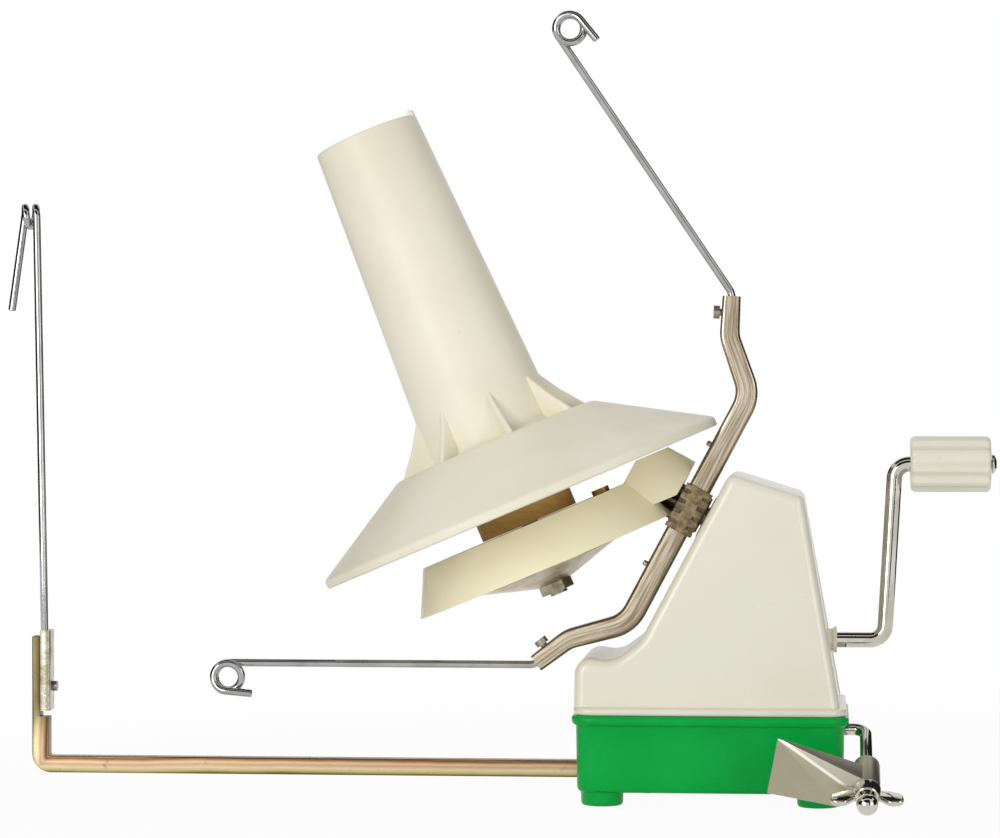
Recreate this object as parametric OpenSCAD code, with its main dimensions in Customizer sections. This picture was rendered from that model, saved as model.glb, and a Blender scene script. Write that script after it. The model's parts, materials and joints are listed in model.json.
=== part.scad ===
// Hand-cranked yarn ball winder. Millimetres, +Z up, +X along the crank shaft towards the handle.
// The origin is the middle of the plane that the four feet stand on.

/* [Base] */
// Length of the tub along X
base_len = 88; // [84:1:106]
// Depth of the tub along Y
base_depth = 64; // [60:1:80]
// Height of the tub's rim above the feet
base_h = 30; // [28:1:36]
// Wall of the tub
base_wall = 2.4; // [1.8:0.1:3]
// Rounding of the tub's upright corners
base_corner = 6; // [4:0.5:9]
// Diameter of a foot
foot_d = 14; // [10:1:16]
// Height of a foot
foot_h = 4.6; // [2:0.1:5]
// How far the rim's bead stands out
bead_out = 1.5; // [0.8:0.1:2]

/* [Housing] */
// Depth of the housing along Y
housing_depth = 58; // [54:1:59]
// Wall of the housing
housing_wall = 2.2; // [1.6:0.1:2.6]
// Height of the rounded nose in front of the slope
nose_h = 49.5; // [46:0.5:51]
// Length of the slope above the flyer axis
slope_up = 17.6; // [16:0.1:22]
// Length of the slope below the flyer axis
slope_down = 45; // [40:0.5:46]
// Right end of the roof
roof_end_x = 30.5; // [28:0.5:34]
// Drop of the roof towards its right end
roof_drop = 7.5; // [4:0.5:10]
// Thickness of the rear cover
cover_t = 2; // [1.5:0.1:2.6]

/* [Flyer] */
// Tilt of the flyer axis above the horizontal, in degrees
flyer_tilt = 28; // [26:0.5:30]
// Place of the flyer hub along X
hub_x = -7.5; // [-10:0.5:-6]
// Height of the flyer hub above the feet
hub_z = 97; // [95:0.5:100]
// Length of the flyer hub
hub_len = 16; // [15.8:0.1:16.6]
// Gap between the flyer hub and the housing slope
slope_gap = 0.6; // [0.4:0.1:1.5]
// Width of the flyer bar
bar_w = 7.4; // [6:0.1:8]
// Depth of the flyer bar's channel section
bar_d = 6.4; // [5:0.1:8]
// Sheet thickness of the flyer bar
bar_t = 1.2; // [0.8:0.1:1.6]
// Reach of the bar's straight middle from the axis
bar_reach = 43; // [40:0.5:46]
// Length of the leg after the first bend
bar_leg = 20.5; // [18:0.5:24]
// Length of the clamp end after the second bend
bar_end = 13.5; // [11:0.5:18]
// Diameter of the yarn wires
wire_d = 2.6; // [2:0.1:3]
// Straight length of a flyer wire outside its clamp
flyer_wire_len = 103; // [70:1:110]

/* [Gears] */
// Teeth of the two pinions
pinion_teeth = 8; // [8:1:8]
// Teeth of the crank gear
crank_teeth = 24; // [24:1:24]
// Teeth of the spool gear
spool_teeth = 64; // [64:1:64]
// Pitch radius of the spool gear
spool_gear_r = 42.4; // [42:0.1:42.6]
// Distance from the crank gear to the point where the two drive axes meet
crank_gear_back = 53; // [50:0.5:54]
// Thickness of the gears
gear_t = 3.4; // [2.6:0.1:4.4]

/* [Spool] */
// Tilt of the spool axis from the vertical, in degrees
spool_tilt = 23; // [22:0.5:24]
// Radius of the spool flange's rim
rim_r = 71; // [66:0.5:74]
// Height of the rim above the spool gear
rim_rise = 19.3; // [18.5:0.1:22]
// Thickness of the rim
rim_t = 3; // [2:0.1:4]
// Radius of the flange's flat top
crown_r = 35.5; // [31:0.5:40]
// Height of the flange's flat top above the rim
crown_rise = 21; // [17:0.5:26]
// Radius of the tube at its foot
tube_foot_r = 23; // [21:0.5:25]
// Radius of the tube at its top
tube_top_r = 18; // [16:0.5:20]
// Length of the tube above the flat top
tube_len = 112; // [90:1:125]
// Wall of the spool moulding
spool_wall = 2; // [1.6:0.1:2.6]
// Number of gussets round the tube's foot
gusset_count = 8; // [4:1:10]
// Radius of the tan hub disc under the flange
disc_r = 17; // [14:0.5:20]
// Diameter of the spool axle
axle_d = 6; // [5:0.1:7]
// Radius of the carrier dish at its bottom edge
dish_foot_r = 46.4; // [46.3:0.1:46.8]
// Radius of the carrier dish at its top
dish_top_r = 39; // [37:0.5:42]
// Height of the carrier dish above the gear plane
dish_h = 13.3; // [12.6:0.1:14]
// Depth of the carrier dish's skirt below the gear plane
dish_skirt = 2; // [1:0.1:2.2]

/* [Crank] */
// Height of the crank shaft above the feet
crank_z = 53.3; // [52:0.1:54.5]
// Diameter of the crank rod
crank_d = 5.2; // [4.6:0.1:6]
// Throw of the crank
crank_throw = 58.7; // [50:0.5:66]
// Place of the crank arm along X
crank_arm_x = 57.4; // [56:0.1:62]
// Lean of the crank arm away from the housing, in degrees
crank_lean = 3.4; // [0:0.1:5]
// Diameter of the knob
knob_d = 18.6; // [16:0.2:21]
// Length of the knob
knob_len = 26.6; // [22:0.2:32]

/* [Yarn guide] */
// Side of the guide bar's square section
guide_bar_s = 5.6; // [5:0.1:7]
// Height of the guide bar's middle above the feet
guide_z = 11; // [10.6:0.1:14]
// Place of the guide bar along Y
guide_y = -14; // [-18:0.5:-10]
// Distance of the upright from the origin
guide_reach = 225; // [180:1:240]
// Height of the upright's top above the feet
upright_h = 54; // [48:0.5:64]
// Height of the guide wire's eye above the feet
eye_h = 195; // [160:1:200]

/* [Clamp] */
// Diameter of the clamp rod
clamp_d = 4; // [3.6:0.1:4.4]
// Diameter of the ball on the clamp rod's end
ball_d = 7; // [6:0.1:8]
// Droop of the clamp rod below the horizontal at rest, in degrees
clamp_droop = 23; // [16:1:24]
// Reach of the jaw from the rod
jaw_reach = 32; // [26:0.5:36]
// Length of the jaw's knuckle along the rod
jaw_w = 16; // [14:0.5:17]
// Diameter of the jaw's knuckle
knuckle_d = 8.6; // [8:0.1:9]
// Sheet thickness of the jaw
jaw_t = 1.3; // [1:0.1:1.6]

/* [Hidden] */
$fn = 64;
// Running clearance between a shaft and its hole
run = 0.05;
// Clearance between pieces that pass each other
clear = 0.4;
cream = "#e9e2cc";
pale = "#ded3ac";
green = "#0aa544";
steel = "#c9c6bf";
nickel = "#a99f8c";
zinc_gold = "#b79a62";
tan_brown = "#b98a45";
dark_brown = "#5b4630";

// Directions: out along the flyer axis, up along the slope, and up along the spool axis
flyer_out = [-cos(flyer_tilt), 0, sin(flyer_tilt)];
slope_dir = [sin(flyer_tilt), 0, cos(flyer_tilt)];
spool_up = [-sin(spool_tilt), 0, cos(spool_tilt)];
hub_at = [hub_x, 0, hub_z];
hub_back = -5.4;
hub_front = hub_back + hub_len;

// Spool drive: the flyer's toothed hub turns the spool gear, and their pitch cones share one apex
drive_angle = 90 - flyer_tilt - spool_tilt;
spool_cone = atan(sin(drive_angle) / (pinion_teeth / spool_teeth + cos(drive_angle)));
hub_cone = drive_angle - spool_cone;
hub_pitch_r = spool_gear_r * pinion_teeth / spool_teeth;
spool_cone_len = spool_gear_r / sin(spool_cone);
mesh_at = hub_front - 2.6;
apex_at = mesh_at + spool_cone_len * cos(hub_cone);
gear_at = hub_at + apex_at * flyer_out - spool_cone_len * cos(spool_cone) * spool_up;
tooth_h = 1;
tooth_root = 1.2;
wheel_tooth_h = 0.8;
wheel_root = 1.6;
slot_w = 2 * PI * hub_pitch_r / pinion_teeth * 0.64;

// Crank drive: the crank gear turns the inner pinion on the flyer sleeve
axes_meet = (hub_z - crank_z) / sin(flyer_tilt);
meet_x = hub_x + axes_meet * cos(flyer_tilt);
crank_cone = atan(sin(flyer_tilt) / (pinion_teeth / crank_teeth + cos(flyer_tilt)));
inner_cone = flyer_tilt - crank_cone;
crank_gear_r = crank_gear_back * tan(crank_cone);
crank_gear_x = meet_x - crank_gear_back;
inner_pitch_r = crank_gear_r * pinion_teeth / crank_teeth;
inner_at = crank_gear_back / cos(crank_cone) * cos(inner_cone) - axes_meet;
inner_slot_w = 2 * PI * inner_pitch_r / pinion_teeth * 0.64;
inner_t = gear_t + 1.4;

// Fixed shaft and the sleeve that turns on it
shaft_d = 5;
sleeve_d = 6.8;
sleeve_back = inner_at - inner_t / 2 - 1.6;
shaft_back = sleeve_back - 4;
shaft_front = hub_front + 11;
neck_back = 5.7;
neck_r = 14.7;
bush_d = 11;
bush_flange_d = 15;
bush_flange_t = 0.5;
slope_at = hub_back - slope_gap - bush_flange_t;

// Housing outline in the XZ plane, from the foot of the nose clockwise
tub_front = -base_len / 2;
tub_back = base_len / 2;
nose_x = tub_front - bead_out / 2;
slope_foot = hub_at + slope_at * flyer_out - slope_down * slope_dir;
slope_top = hub_at + slope_at * flyer_out + slope_up * slope_dir;
roof_end = [roof_end_x, slope_top[2] - roof_drop];
wall_foot_x = tub_back - 1;
nose_back = slope_foot[0] - 9;

function arc_corner(a, b, c, r, n = 8) =
    let (
        ab = (a - b) / norm(a - b),
        cb = (c - b) / norm(c - b),
        half = acos(max(-1, min(1, ab * cb))) / 2,
        d = r / tan(half),
        p = b + ab * d,
        q = b + cb * d,
        m = b + (ab + cb) / norm(ab + cb) * (r / sin(half)),
        p_angle = atan2(p[1] - m[1], p[0] - m[0]),
        q_angle = atan2(q[1] - m[1], q[0] - m[0]),
        sweep = (q_angle - p_angle + 540) % 360 - 180
    )
    [for (i = [0:n]) m + r * [cos(p_angle + sweep * i / n), sin(p_angle + sweep * i / n)]];
function rounded(pts, radii) =
    let (n = len(pts))
    [for (i = [0:n - 1]) each radii[i] == 0 ? [pts[i]]
        : arc_corner(pts[(i + n - 1) % n], pts[i], pts[(i + 1) % n], radii[i])];

housing_pts = [
    [nose_x, base_h],
    [nose_x + 0.4, nose_h],
    [nose_back, nose_h - 2],
    [slope_foot[0], slope_foot[2]],
    [slope_top[0], slope_top[2]],
    roof_end,
    [wall_foot_x, base_h]
];
housing_radii = [0, 5.5, 9, 14, 3, 3, 0];

// Points of an outline that runs clockwise, moved inwards by d
function edge_in(a, b) = [b[1] - a[1], a[0] - b[0]] / norm(b - a);
function inset(pts, d) =
    let (n = len(pts))
    [for (i = [0:n - 1])
        let (
            m1 = edge_in(pts[(i + n - 1) % n], pts[i]),
            m2 = edge_in(pts[i], pts[(i + 1) % n])
        )
        pts[i] + (m1 + m2) / (1 + m1 * m2) * d];
cavity_raw = inset(housing_pts, housing_wall);
cavity_last = len(cavity_raw) - 1;
cavity_pts = [for (i = [0:cavity_last])
    (i == 0 || i == cavity_last) ? [cavity_raw[i][0], base_h - 1] : cavity_raw[i]];
cavity_radii = [0, 3.3, 11.2, 16.2, 1, 1, 0];
hole_raw = inset(housing_pts, housing_wall - 0.7);
flange_hole = [for (i = [0:cavity_last])
    (i == 0 || i == cavity_last) ? [hole_raw[i][0], base_h - 1] : hole_raw[i]];

// Screw bosses of the rear cover, in the XZ plane
boss_d = 7;
boss_at = [[-36, base_h + 7], [4, base_h + 7], [36, base_h + 7], [roof_end_x - 7.5, roof_end[1] - 8]];
cover_hole_d = 3.2;
boss_hole_d = 2.6;
cover_screw_d = 2.5;
screw_len = 10;
screw_head_d = 5;
screw_head_h = 1.8;

// Posts that take the base screws, and the flange that closes the tub
post_x = [tub_front + 23.5, tub_back - 21.5];
post_y = min(housing_depth / 2 - 4, base_depth / 2 - base_wall - boss_d / 2 - clear);
flange_t = 2.6;

// Crank bearings
crank_bush_d = 7.4;
crank_bush_flange_d = 8.6;
crank_boss_d = 10;
wall_lean = (wall_foot_x - roof_end_x) / (roof_end[1] - base_h);
wall_x = wall_foot_x - (crank_z - base_h) * wall_lean;
crank_seat_x = wall_x + crank_boss_d / 2 * wall_lean + 0.6;
crank_boss_x = wall_x - 6.5;
crank_left_x = crank_gear_x - 12;
crank_rib_x = crank_left_x + 1;
crank_rib_t = 5;
crank_room = crank_boss_x - clear - crank_gear_x - gear_t / 2 - 0.1;
crank_hub_len = 0.7 * crank_room;
crank_bend = 5;

// Guide bar and its runners in the tub
rail_t = 4;
guide_inside = 40;
rail_in = 6;
rail_x = [tub_front + base_wall / 2, tub_front + guide_inside - rail_in];
guide_slot = guide_bar_s + 2 * clear;
slot_over = 5;
bore_over = 9;

// Clamp
clamp_bend = 4;
clamp_y = -base_depth / 2 + 10;
clamp_z = 25.4;
clamp_leg_x = tub_back + bead_out + clamp_bend + 1.5;
clamp_in = 12;
lug_w = 7;
lug_x = tub_back - clamp_in;
nut_t = 4.8;

function unit(v) = v / norm(v);
function carry(v, t) = unit(v - (v * t) * t);
function tangents(p) = let (n = len(p)) [for (i = [0:n - 1]) unit(p[min(i + 1, n - 1)] - p[max(i - 1, 0)])];
function sides_of(t) =
    let (n = len(t), first = abs(t[0][1]) < 0.9 ? [0, 1, 0] : [1, 0, 0])
    [for (i = 0, v = carry(first, t[0]); i < n; i = i + 1, v = carry(v, t[min(i, n - 1)])) v];

// A round wire along a list of points, as one closed skin of triangles
module wire_along(pts, d, sides = 8) {
    t = tangents(pts);
    u = sides_of(t);
    n = len(pts);
    rings = [for (i = [0:n - 1]) for (k = [0:sides - 1])
        pts[i] + d / 2 * (cos(360 * k / sides) * u[i] + sin(360 * k / sides) * cross(t[i], u[i]))];
    skin = [for (i = [0:n - 2]) for (k = [0:sides - 1])
        let (a = i * sides + k, b = i * sides + (k + 1) % sides)
        each [[a, a + sides, b], [b, a + sides, b + sides]]];
    first_cap = [for (k = [1:sides - 2]) [0, k, k + 1]];
    last = (n - 1) * sides;
    last_cap = [for (k = [1:sides - 2]) [last, last + k + 1, last + k]];
    polyhedron(rings, concat(skin, first_cap, last_cap));
}

// Frames of the three axes, each with its axis along the local Z
module on_flyer_axis() {
    translate(hub_at) rotate([0, flyer_tilt - 90, 0]) children();
}
module on_spool_axis() {
    translate(gear_at) rotate([0, -spool_tilt, 0]) children();
}
module on_crank_axis() {
    translate([0, 0, crank_z]) rotate([0, 90, 0]) children();
}

// A flat outline in the XZ plane, given depth from y0 to y1
module slab(y0, y1) {
    translate([0, y1, 0]) rotate([90, 0, 0]) linear_extrude(y1 - y0) children();
}
module rounded_rect(w, d, r) {
    polygon(rounded([[-w / 2, -d / 2], [-w / 2, d / 2], [w / 2, d / 2], [w / 2, -d / 2]], [r, r, r, r]));
}
module ring(d_out, d_in, h) {
    difference() {
        cylinder(d = d_out, h = h);
        translate([0, 0, -1]) cylinder(d = d_in, h = h + 2);
    }
}

// Bevel wheel with straight slots, its pitch circle at z = 0 and its apex above
module bevel_wheel(teeth, pitch_r, cone, t, slot) {
    flare = t / 2 * tan(cone);
    difference() {
        rotate_extrude() polygon([
            [0, -t / 2],
            [pitch_r + wheel_tooth_h + flare, -t / 2],
            [pitch_r + wheel_tooth_h - flare, t / 2],
            [0, t / 2]
        ]);
        for (i = [0:teeth - 1]) rotate(i * 360 / teeth)
            translate([pitch_r - wheel_root, 0, 0]) rotate([0, -cone, 0])
                translate([0, -slot / 2, -2 * t]) cube([6, slot, 4 * t]);
    }
}

// Pinion outline with a tooth on the X axis
module pinion_outline(teeth, pitch_r, slot) {
    pitch = 2 * PI * pitch_r / teeth;
    root = pitch_r - tooth_root;
    foot_w = (pitch - slot) * 1.3;
    tip_w = (pitch - slot) * 0.7;
    circle(r = root);
    for (i = [0:teeth - 1]) rotate(i * 360 / teeth) polygon([
        [root - 0.5, -foot_w / 2],
        [pitch_r + tooth_h, -tip_w / 2],
        [pitch_r + tooth_h, tip_w / 2],
        [root - 0.5, foot_w / 2]
    ]);
}

// Base tub: floor, walls, rim bead, feet and middle pad, guide bar runners and the clamp's pivot lug
module base_tub() {
    floor_z = foot_h + base_wall;
    bead_h = 3.2;
    foot_in = foot_d / 2 + 1.5;
    color(green) difference() {
        union() {
            difference() {
                union() {
                    translate([0, 0, foot_h]) linear_extrude(base_h - foot_h)
                        rounded_rect(base_len, base_depth, base_corner);
                    translate([0, 0, base_h - bead_h]) linear_extrude(bead_h)
                        rounded_rect(base_len + 2 * bead_out, base_depth + 2 * bead_out, base_corner + bead_out);
                }
                translate([0, 0, floor_z]) linear_extrude(base_h) rounded_rect(
                    base_len - 2 * base_wall, base_depth - 2 * base_wall, base_corner - base_wall / 2);
            }
            for (sx = [-1, 1]) for (sy = [-1, 1])
                translate([sx * (base_len / 2 - foot_in), sy * (base_depth / 2 - foot_in), 0])
                    cylinder(d = foot_d, h = foot_h + 0.5);
            cylinder(d = foot_d, h = foot_h + 0.5);
            translate([rail_x[1] - rail_t / 2, guide_y - guide_slot, foot_h + 1])
                cube([rail_t, 2 * guide_slot, guide_z + guide_slot - foot_h - 1]);
            translate([lug_x, clamp_y - lug_w / 2, foot_h + 1])
                cube([clamp_in - 1, lug_w, clamp_z + lug_w / 2 - foot_h - 1]);
        }
        translate([tub_front - slot_over, guide_y - guide_bar_s / 2 - run, guide_z - guide_bar_s / 2 - run])
            cube([rail_x[1] + rail_t - tub_front + slot_over, guide_bar_s + 2 * run, guide_bar_s + 2 * run]);
        translate([lug_x - 1, clamp_y, clamp_z]) rotate([0, 90, 0]) cylinder(d = clamp_d + 2 * run, h = clamp_in + bore_over);
        for (x = post_x) for (sy = [-1, 1])
            translate([x, sy * post_y, foot_h - 1]) cylinder(d = cover_hole_d, h = base_wall + 2);
    }
}

// Housing: sloped shell, open at the back and below, with its bearing bosses
module housing_shell() {
    y0 = -housing_depth / 2;
    y1 = housing_depth / 2;
    color(cream) difference() {
        union() {
            difference() {
                slab(y0, y1) polygon(rounded(housing_pts, housing_radii));
                slab(y0 + housing_wall, y1 + 1) polygon(rounded(cavity_pts, cavity_radii));
            }
            difference() {
                translate([0, 0, base_h]) linear_extrude(flange_t)
                    rounded_rect(base_len + bead_out, base_depth + bead_out, base_corner);
                slab(y0 + housing_wall - 0.7, y1 - 2.5) polygon(flange_hole);
            }
            for (x = post_x) for (sy = [-1, 1])
                translate([x, sy * post_y, foot_h + base_wall]) cylinder(d = boss_d, h = base_h + 1 - foot_h);
            for (x = post_x) for (sy = [-1, 1]) scale([1, sy, 1])
                translate([x - boss_d / 2, post_y, base_h + 0.3])
                    cube([boss_d, housing_depth / 2 - 1 - post_y, flange_t - 0.6]);
            intersection() {
                slab(y0 + 1, y1 - 1) polygon(inset(housing_pts, housing_wall / 2));
                union() {
                    on_flyer_axis() translate([0, 0, slope_at - housing_wall - 4]) cylinder(d = bush_d + 5, h = 5);
                    on_flyer_axis() translate([0, 0, shaft_back - 20])
                        cylinder(d = shaft_d + 6, h = sleeve_back - 0.5 - shaft_back + 20);
                }
            }
            on_crank_axis() translate([0, 0, crank_boss_x]) cylinder(d = crank_boss_d, h = crank_seat_x - crank_boss_x);
            translate([crank_rib_x, y0 + 1, crank_z - 6]) cube([crank_rib_t, -y0 + 5, 12]);
            for (b = boss_at) translate([b[0], y1, b[1]]) rotate([90, 0, 0])
                cylinder(d = boss_d, h = housing_depth - 1);
        }
        on_flyer_axis() translate([0, 0, slope_at - 10]) cylinder(d = bush_d + 2 * run, h = 12);
        on_flyer_axis() translate([0, 0, shaft_back]) cylinder(d = shaft_d + 2 * run, h = 10);
        on_crank_axis() translate([0, 0, crank_boss_x - 1]) cylinder(d = crank_bush_d + 2 * run, h = 20);
        on_crank_axis() translate([0, 0, crank_rib_x - 1]) cylinder(d = crank_d + 2 * run, h = crank_rib_t + 2);
        for (b = boss_at) translate([b[0], y1 + 1, b[1]]) rotate([90, 0, 0]) cylinder(d = boss_hole_d, h = screw_len + 4);
        for (x = post_x) for (sy = [-1, 1])
            translate([x, sy * post_y, foot_h]) cylinder(d = boss_hole_d, h = screw_len + 4);
    }
}

// Rear cover: a flat plate screwed to the back of the shell
module rear_cover() {
    y1 = housing_depth / 2;
    foot_z = base_h + flange_t;
    color(cream) difference() {
        slab(y1, y1 + cover_t) polygon(rounded(
            [for (p = housing_pts) [p[0], max(p[1], foot_z)]], housing_radii));
        for (b = boss_at) translate([b[0], y1 + cover_t + 1, b[1]]) rotate([90, 0, 0])
            cylinder(d = cover_hole_d, h = cover_t + 2);
    }
}

module pan_screw(d, len, head_d, head_h) {
    translate([0, 0, -len]) cylinder(d = d, h = len + 0.5);
    cylinder(d = head_d, h = head_h);
}
module cover_screws() {
    color(steel) for (b = boss_at) translate([b[0], housing_depth / 2 + cover_t, b[1]])
        rotate([-90, 0, 0]) pan_screw(cover_screw_d, screw_len, screw_head_d, screw_head_h);
}
module base_screws() {
    color(steel) for (x = post_x) for (sy = [-1, 1])
        translate([x, sy * post_y, foot_h]) rotate([180, 0, 0])
            pan_screw(cover_screw_d, screw_len, screw_head_d, screw_head_h);
}

// Plain bearings of the crank and of the flyer sleeve
module crank_bush() {
    color(pale) on_crank_axis() translate([0, 0, crank_boss_x]) {
        ring(crank_bush_d, crank_d + 2 * run, crank_seat_x - crank_boss_x + 0.5);
        translate([0, 0, crank_seat_x - crank_boss_x]) ring(crank_bush_flange_d, crank_d + 2 * run, 1.2);
    }
}
module flyer_bush() {
    color(zinc_gold) on_flyer_axis() {
        translate([0, 0, slope_at - housing_wall - 4]) ring(bush_d, sleeve_d + 2 * run, housing_wall + 4.2);
        translate([0, 0, slope_at]) ring(bush_flange_d, sleeve_d + 2 * run, bush_flange_t);
    }
}
module main_shaft() {
    color(steel) on_flyer_axis() translate([0, 0, shaft_back]) cylinder(d = shaft_d, h = shaft_front - shaft_back);
}

// Carrier dish: fixed on the end of the main shaft, it holds the spool axle over the spool gear
dish_wall = 1.3;
dish_top_t = 2;
axle_bush_d = 9;
axle_boss_d = 14;
axle_boss_h = 5;
carrier_screw_at = [27, -12, dish_h];
module carrier_dish() {
    color(pale) difference() {
        union() {
            on_spool_axis() rotate_extrude() polygon([
                [dish_foot_r - dish_wall, -dish_skirt],
                [dish_foot_r, -dish_skirt],
                [dish_top_r, dish_h],
                [0, dish_h],
                [0, dish_h - axle_boss_h],
                [axle_boss_d / 2, dish_h - axle_boss_h],
                [axle_boss_d / 2, dish_h - dish_top_t],
                [dish_top_r - dish_wall, dish_h - dish_top_t]
            ]);
            intersection() {
                on_flyer_axis() translate([0, 0, neck_back]) cylinder(r = neck_r, h = shaft_front + 1.5 - neck_back);
                on_spool_axis() translate([-60, -60, gear_t / 2 + 1.5]) cube([160, 120, rim_rise - gear_t / 2 - 1.5 - clear]);
            }
        }
        on_flyer_axis() translate([0, 0, hub_back - 8])
            cylinder(r = hub_pitch_r + tooth_h + 0.9, h = hub_front - hub_back + 9);
        on_flyer_axis() translate([0, 0, neck_back - 4]) cylinder(d = shaft_d + 2 * run, h = shaft_front - neck_back + 4);
        on_spool_axis() translate([0, 0, dish_h - axle_boss_h - 1]) cylinder(d = axle_bush_d + 2 * run, h = axle_boss_h + 2);
        on_spool_axis() translate(carrier_screw_at - [0, 0, 3]) cylinder(d = cover_screw_d + 0.1, h = 4);
    }
}
module carrier_bush() {
    color(zinc_gold) on_spool_axis() translate([0, 0, dish_h - axle_boss_h])
        ring(axle_bush_d, axle_d + 2 * run, axle_boss_h);
}
module carrier_screw() {
    color(steel) on_spool_axis() translate(carrier_screw_at) pan_screw(cover_screw_d, dish_top_t, 6, 1.8);
}

// Crank: one bent rod with its gear, collar, knob and rivet
bend_run = crank_bend * tan((90 - crank_lean) / 2);
arm_top_x = crank_arm_x + crank_throw * tan(crank_lean);
knob_x = arm_top_x + bend_run + 0.3;
pin_z = crank_z + crank_throw;
arm_len = crank_throw / cos(crank_lean) - 2 * bend_run;
// Hairline seam between the arm and its bends, with a core through it
seam = 0.01;
pin_end = knob_x + knob_len + 0.4;
module rod_x(x0, x1, z, d) {
    translate([x0, 0, z]) rotate([0, 90, 0]) cylinder(d = d, h = x1 - x0);
}
module rod_bend(x, z, start) {
    translate([x, 0, z]) rotate([90, 0, 0]) rotate([0, 0, start]) rotate_extrude(angle = 90 - crank_lean)
        translate([crank_bend, 0]) circle(d = crank_d, $fn = 40);
}
module crank_handle() {
    color(steel) {
        rod_x(crank_left_x, crank_arm_x - bend_run, crank_z, crank_d);
        rod_bend(crank_arm_x - bend_run, crank_z + crank_bend, -90);
        translate([crank_arm_x, 0, crank_z]) rotate([0, crank_lean, 0]) translate([0, 0, bend_run]) {
            translate([0, 0, seam]) cylinder(d = crank_d, h = arm_len - 2 * seam);
            translate([0, 0, -1]) cylinder(d = crank_d - 1.2, h = arm_len + 2);
        }
        rod_bend(arm_top_x + bend_run, pin_z - crank_bend, 90);
        rod_x(arm_top_x + bend_run, pin_end, pin_z, crank_d);
    }
}
module crank_gear() {
    color(dark_brown) on_crank_axis() translate([0, 0, crank_gear_x]) difference() {
        union() {
            bevel_wheel(crank_teeth, crank_gear_r, crank_cone, gear_t, inner_slot_w);
            cylinder(d = 12, h = gear_t / 2 + crank_hub_len);
        }
        translate([0, 0, -gear_t]) cylinder(d = crank_d + 0.02, h = 3 * gear_t + crank_hub_len);
    }
}
module crank_collar() {
    from = crank_gear_x + gear_t / 2 + crank_hub_len + 0.1;
    color(steel) on_crank_axis() translate([0, 0, from]) ring(11, crank_d + 0.02, crank_boss_x - clear - from);
}
module crank_knob() {
    r = knob_d / 2;
    flute_r = 2.8;
    flute_depth = 0.9;
    color(cream) translate([knob_x, 0, pin_z]) rotate([0, 90, 0]) difference() {
        rotate_extrude() polygon([
            [crank_d / 2 + run, 0],
            [r - 1.6, 0],
            [r - 0.5, 0.5],
            [r, 1.8],
            [r, knob_len - 1.8],
            [r - 0.5, knob_len - 0.5],
            [r - 1.6, knob_len],
            [crank_d / 2 + run, knob_len]
        ]);
        for (i = [0:9]) rotate(i * 36 + 10) translate([r + flute_r - flute_depth, 0, -1])
            cylinder(r = flute_r, h = knob_len + 2, $fn = 24);
    }
}
module knob_rivet() {
    color(steel) translate([pin_end + 0.01, 0, pin_z]) rotate([0, 90, 0]) rotate_extrude() polygon([
        [0, 0], [3.3, 0], [3.3, 0.4], [2.8, 1], [1.8, 1.4], [0, 1.6]
    ]);
}

// Flyer: sleeve, pinion and hub on the fixed shaft, and the bar with its two wires
saddle = hub_pitch_r + tooth_h + 0.75;
module flyer_sleeve() {
    color(steel) on_flyer_axis() translate([0, 0, sleeve_back])
        ring(sleeve_d, shaft_d + 2 * run, hub_front - 0.4 - sleeve_back);
}
module inner_pinion() {
    color(dark_brown) on_flyer_axis() translate([0, 0, inner_at - inner_t / 2]) linear_extrude(inner_t) difference() {
        pinion_outline(pinion_teeth, inner_pitch_r, inner_slot_w);
        circle(d = sleeve_d + 0.02);
    }
}
module flyer_hub() {
    color(dark_brown) on_flyer_axis() difference() {
        union() {
            translate([0, 0, hub_back]) linear_extrude(hub_len) pinion_outline(pinion_teeth, hub_pitch_r, slot_w);
            translate([-4, -saddle, hub_back]) cube([8, saddle, 2 - hub_back]);
        }
        translate([0, 0, hub_back - 1]) cylinder(d = sleeve_d + 0.02, h = hub_len + 2);
        for (sx = [-1, 1]) translate([sx * 2.4, 1 - saddle, 0]) rotate([90, 0, 0])
            cylinder(d = 1.9, h = 6, center = true);
    }
}

// Half of the bar's middle line as distance from the axis and distance along it
leg_end = [bar_reach + bar_leg * cos(47), bar_leg * sin(47)];
bar_tip = leg_end + bar_end * [cos(25), sin(25)];
bar_bend = 12;
function flip(p) = [-p[0], p[1]];
bar_line = concat(
    [flip(bar_tip)],
    arc_corner(flip(bar_tip), flip(leg_end), [-bar_reach, 0], bar_bend, 5),
    arc_corner(flip(leg_end), [-bar_reach, 0], [bar_reach, 0], bar_bend, 5),
    arc_corner([-bar_reach, 0], [bar_reach, 0], leg_end, bar_bend, 5),
    arc_corner([bar_reach, 0], leg_end, bar_tip, bar_bend, 5),
    [bar_tip]
);
function edge_side(a, b) = [a[1] - b[1], b[0] - a[0]] / norm(b - a);
function beside(p, w) =
    let (n = len(p))
    [for (i = [0:n - 1])
        let (
            m1 = edge_side(p[max(i - 1, 0)], p[max(i, 1)]),
            m2 = edge_side(p[min(i, n - 2)], p[min(i + 1, n - 1)])
        )
        p[i] + (m1 + m2) / (1 + m1 * m2) * w];
function backwards(p) = [for (i = [len(p) - 1:-1:0]) p[i]];
function ribbon(p, w) = concat(beside(p, w / 2), backwards(beside(p, -w / 2)));
screw_back = 5.5;
clamp_screw_d = 2.4;
module at_bar_end(side) {
    mirror([side < 0 ? 1 : 0, 0, 0])
        translate([bar_tip[0], -saddle - bar_t - wire_d / 2 - run, bar_tip[1]]) rotate([0, -25, 0])
            translate([-screw_back, 0, 0]) children();
}
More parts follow.
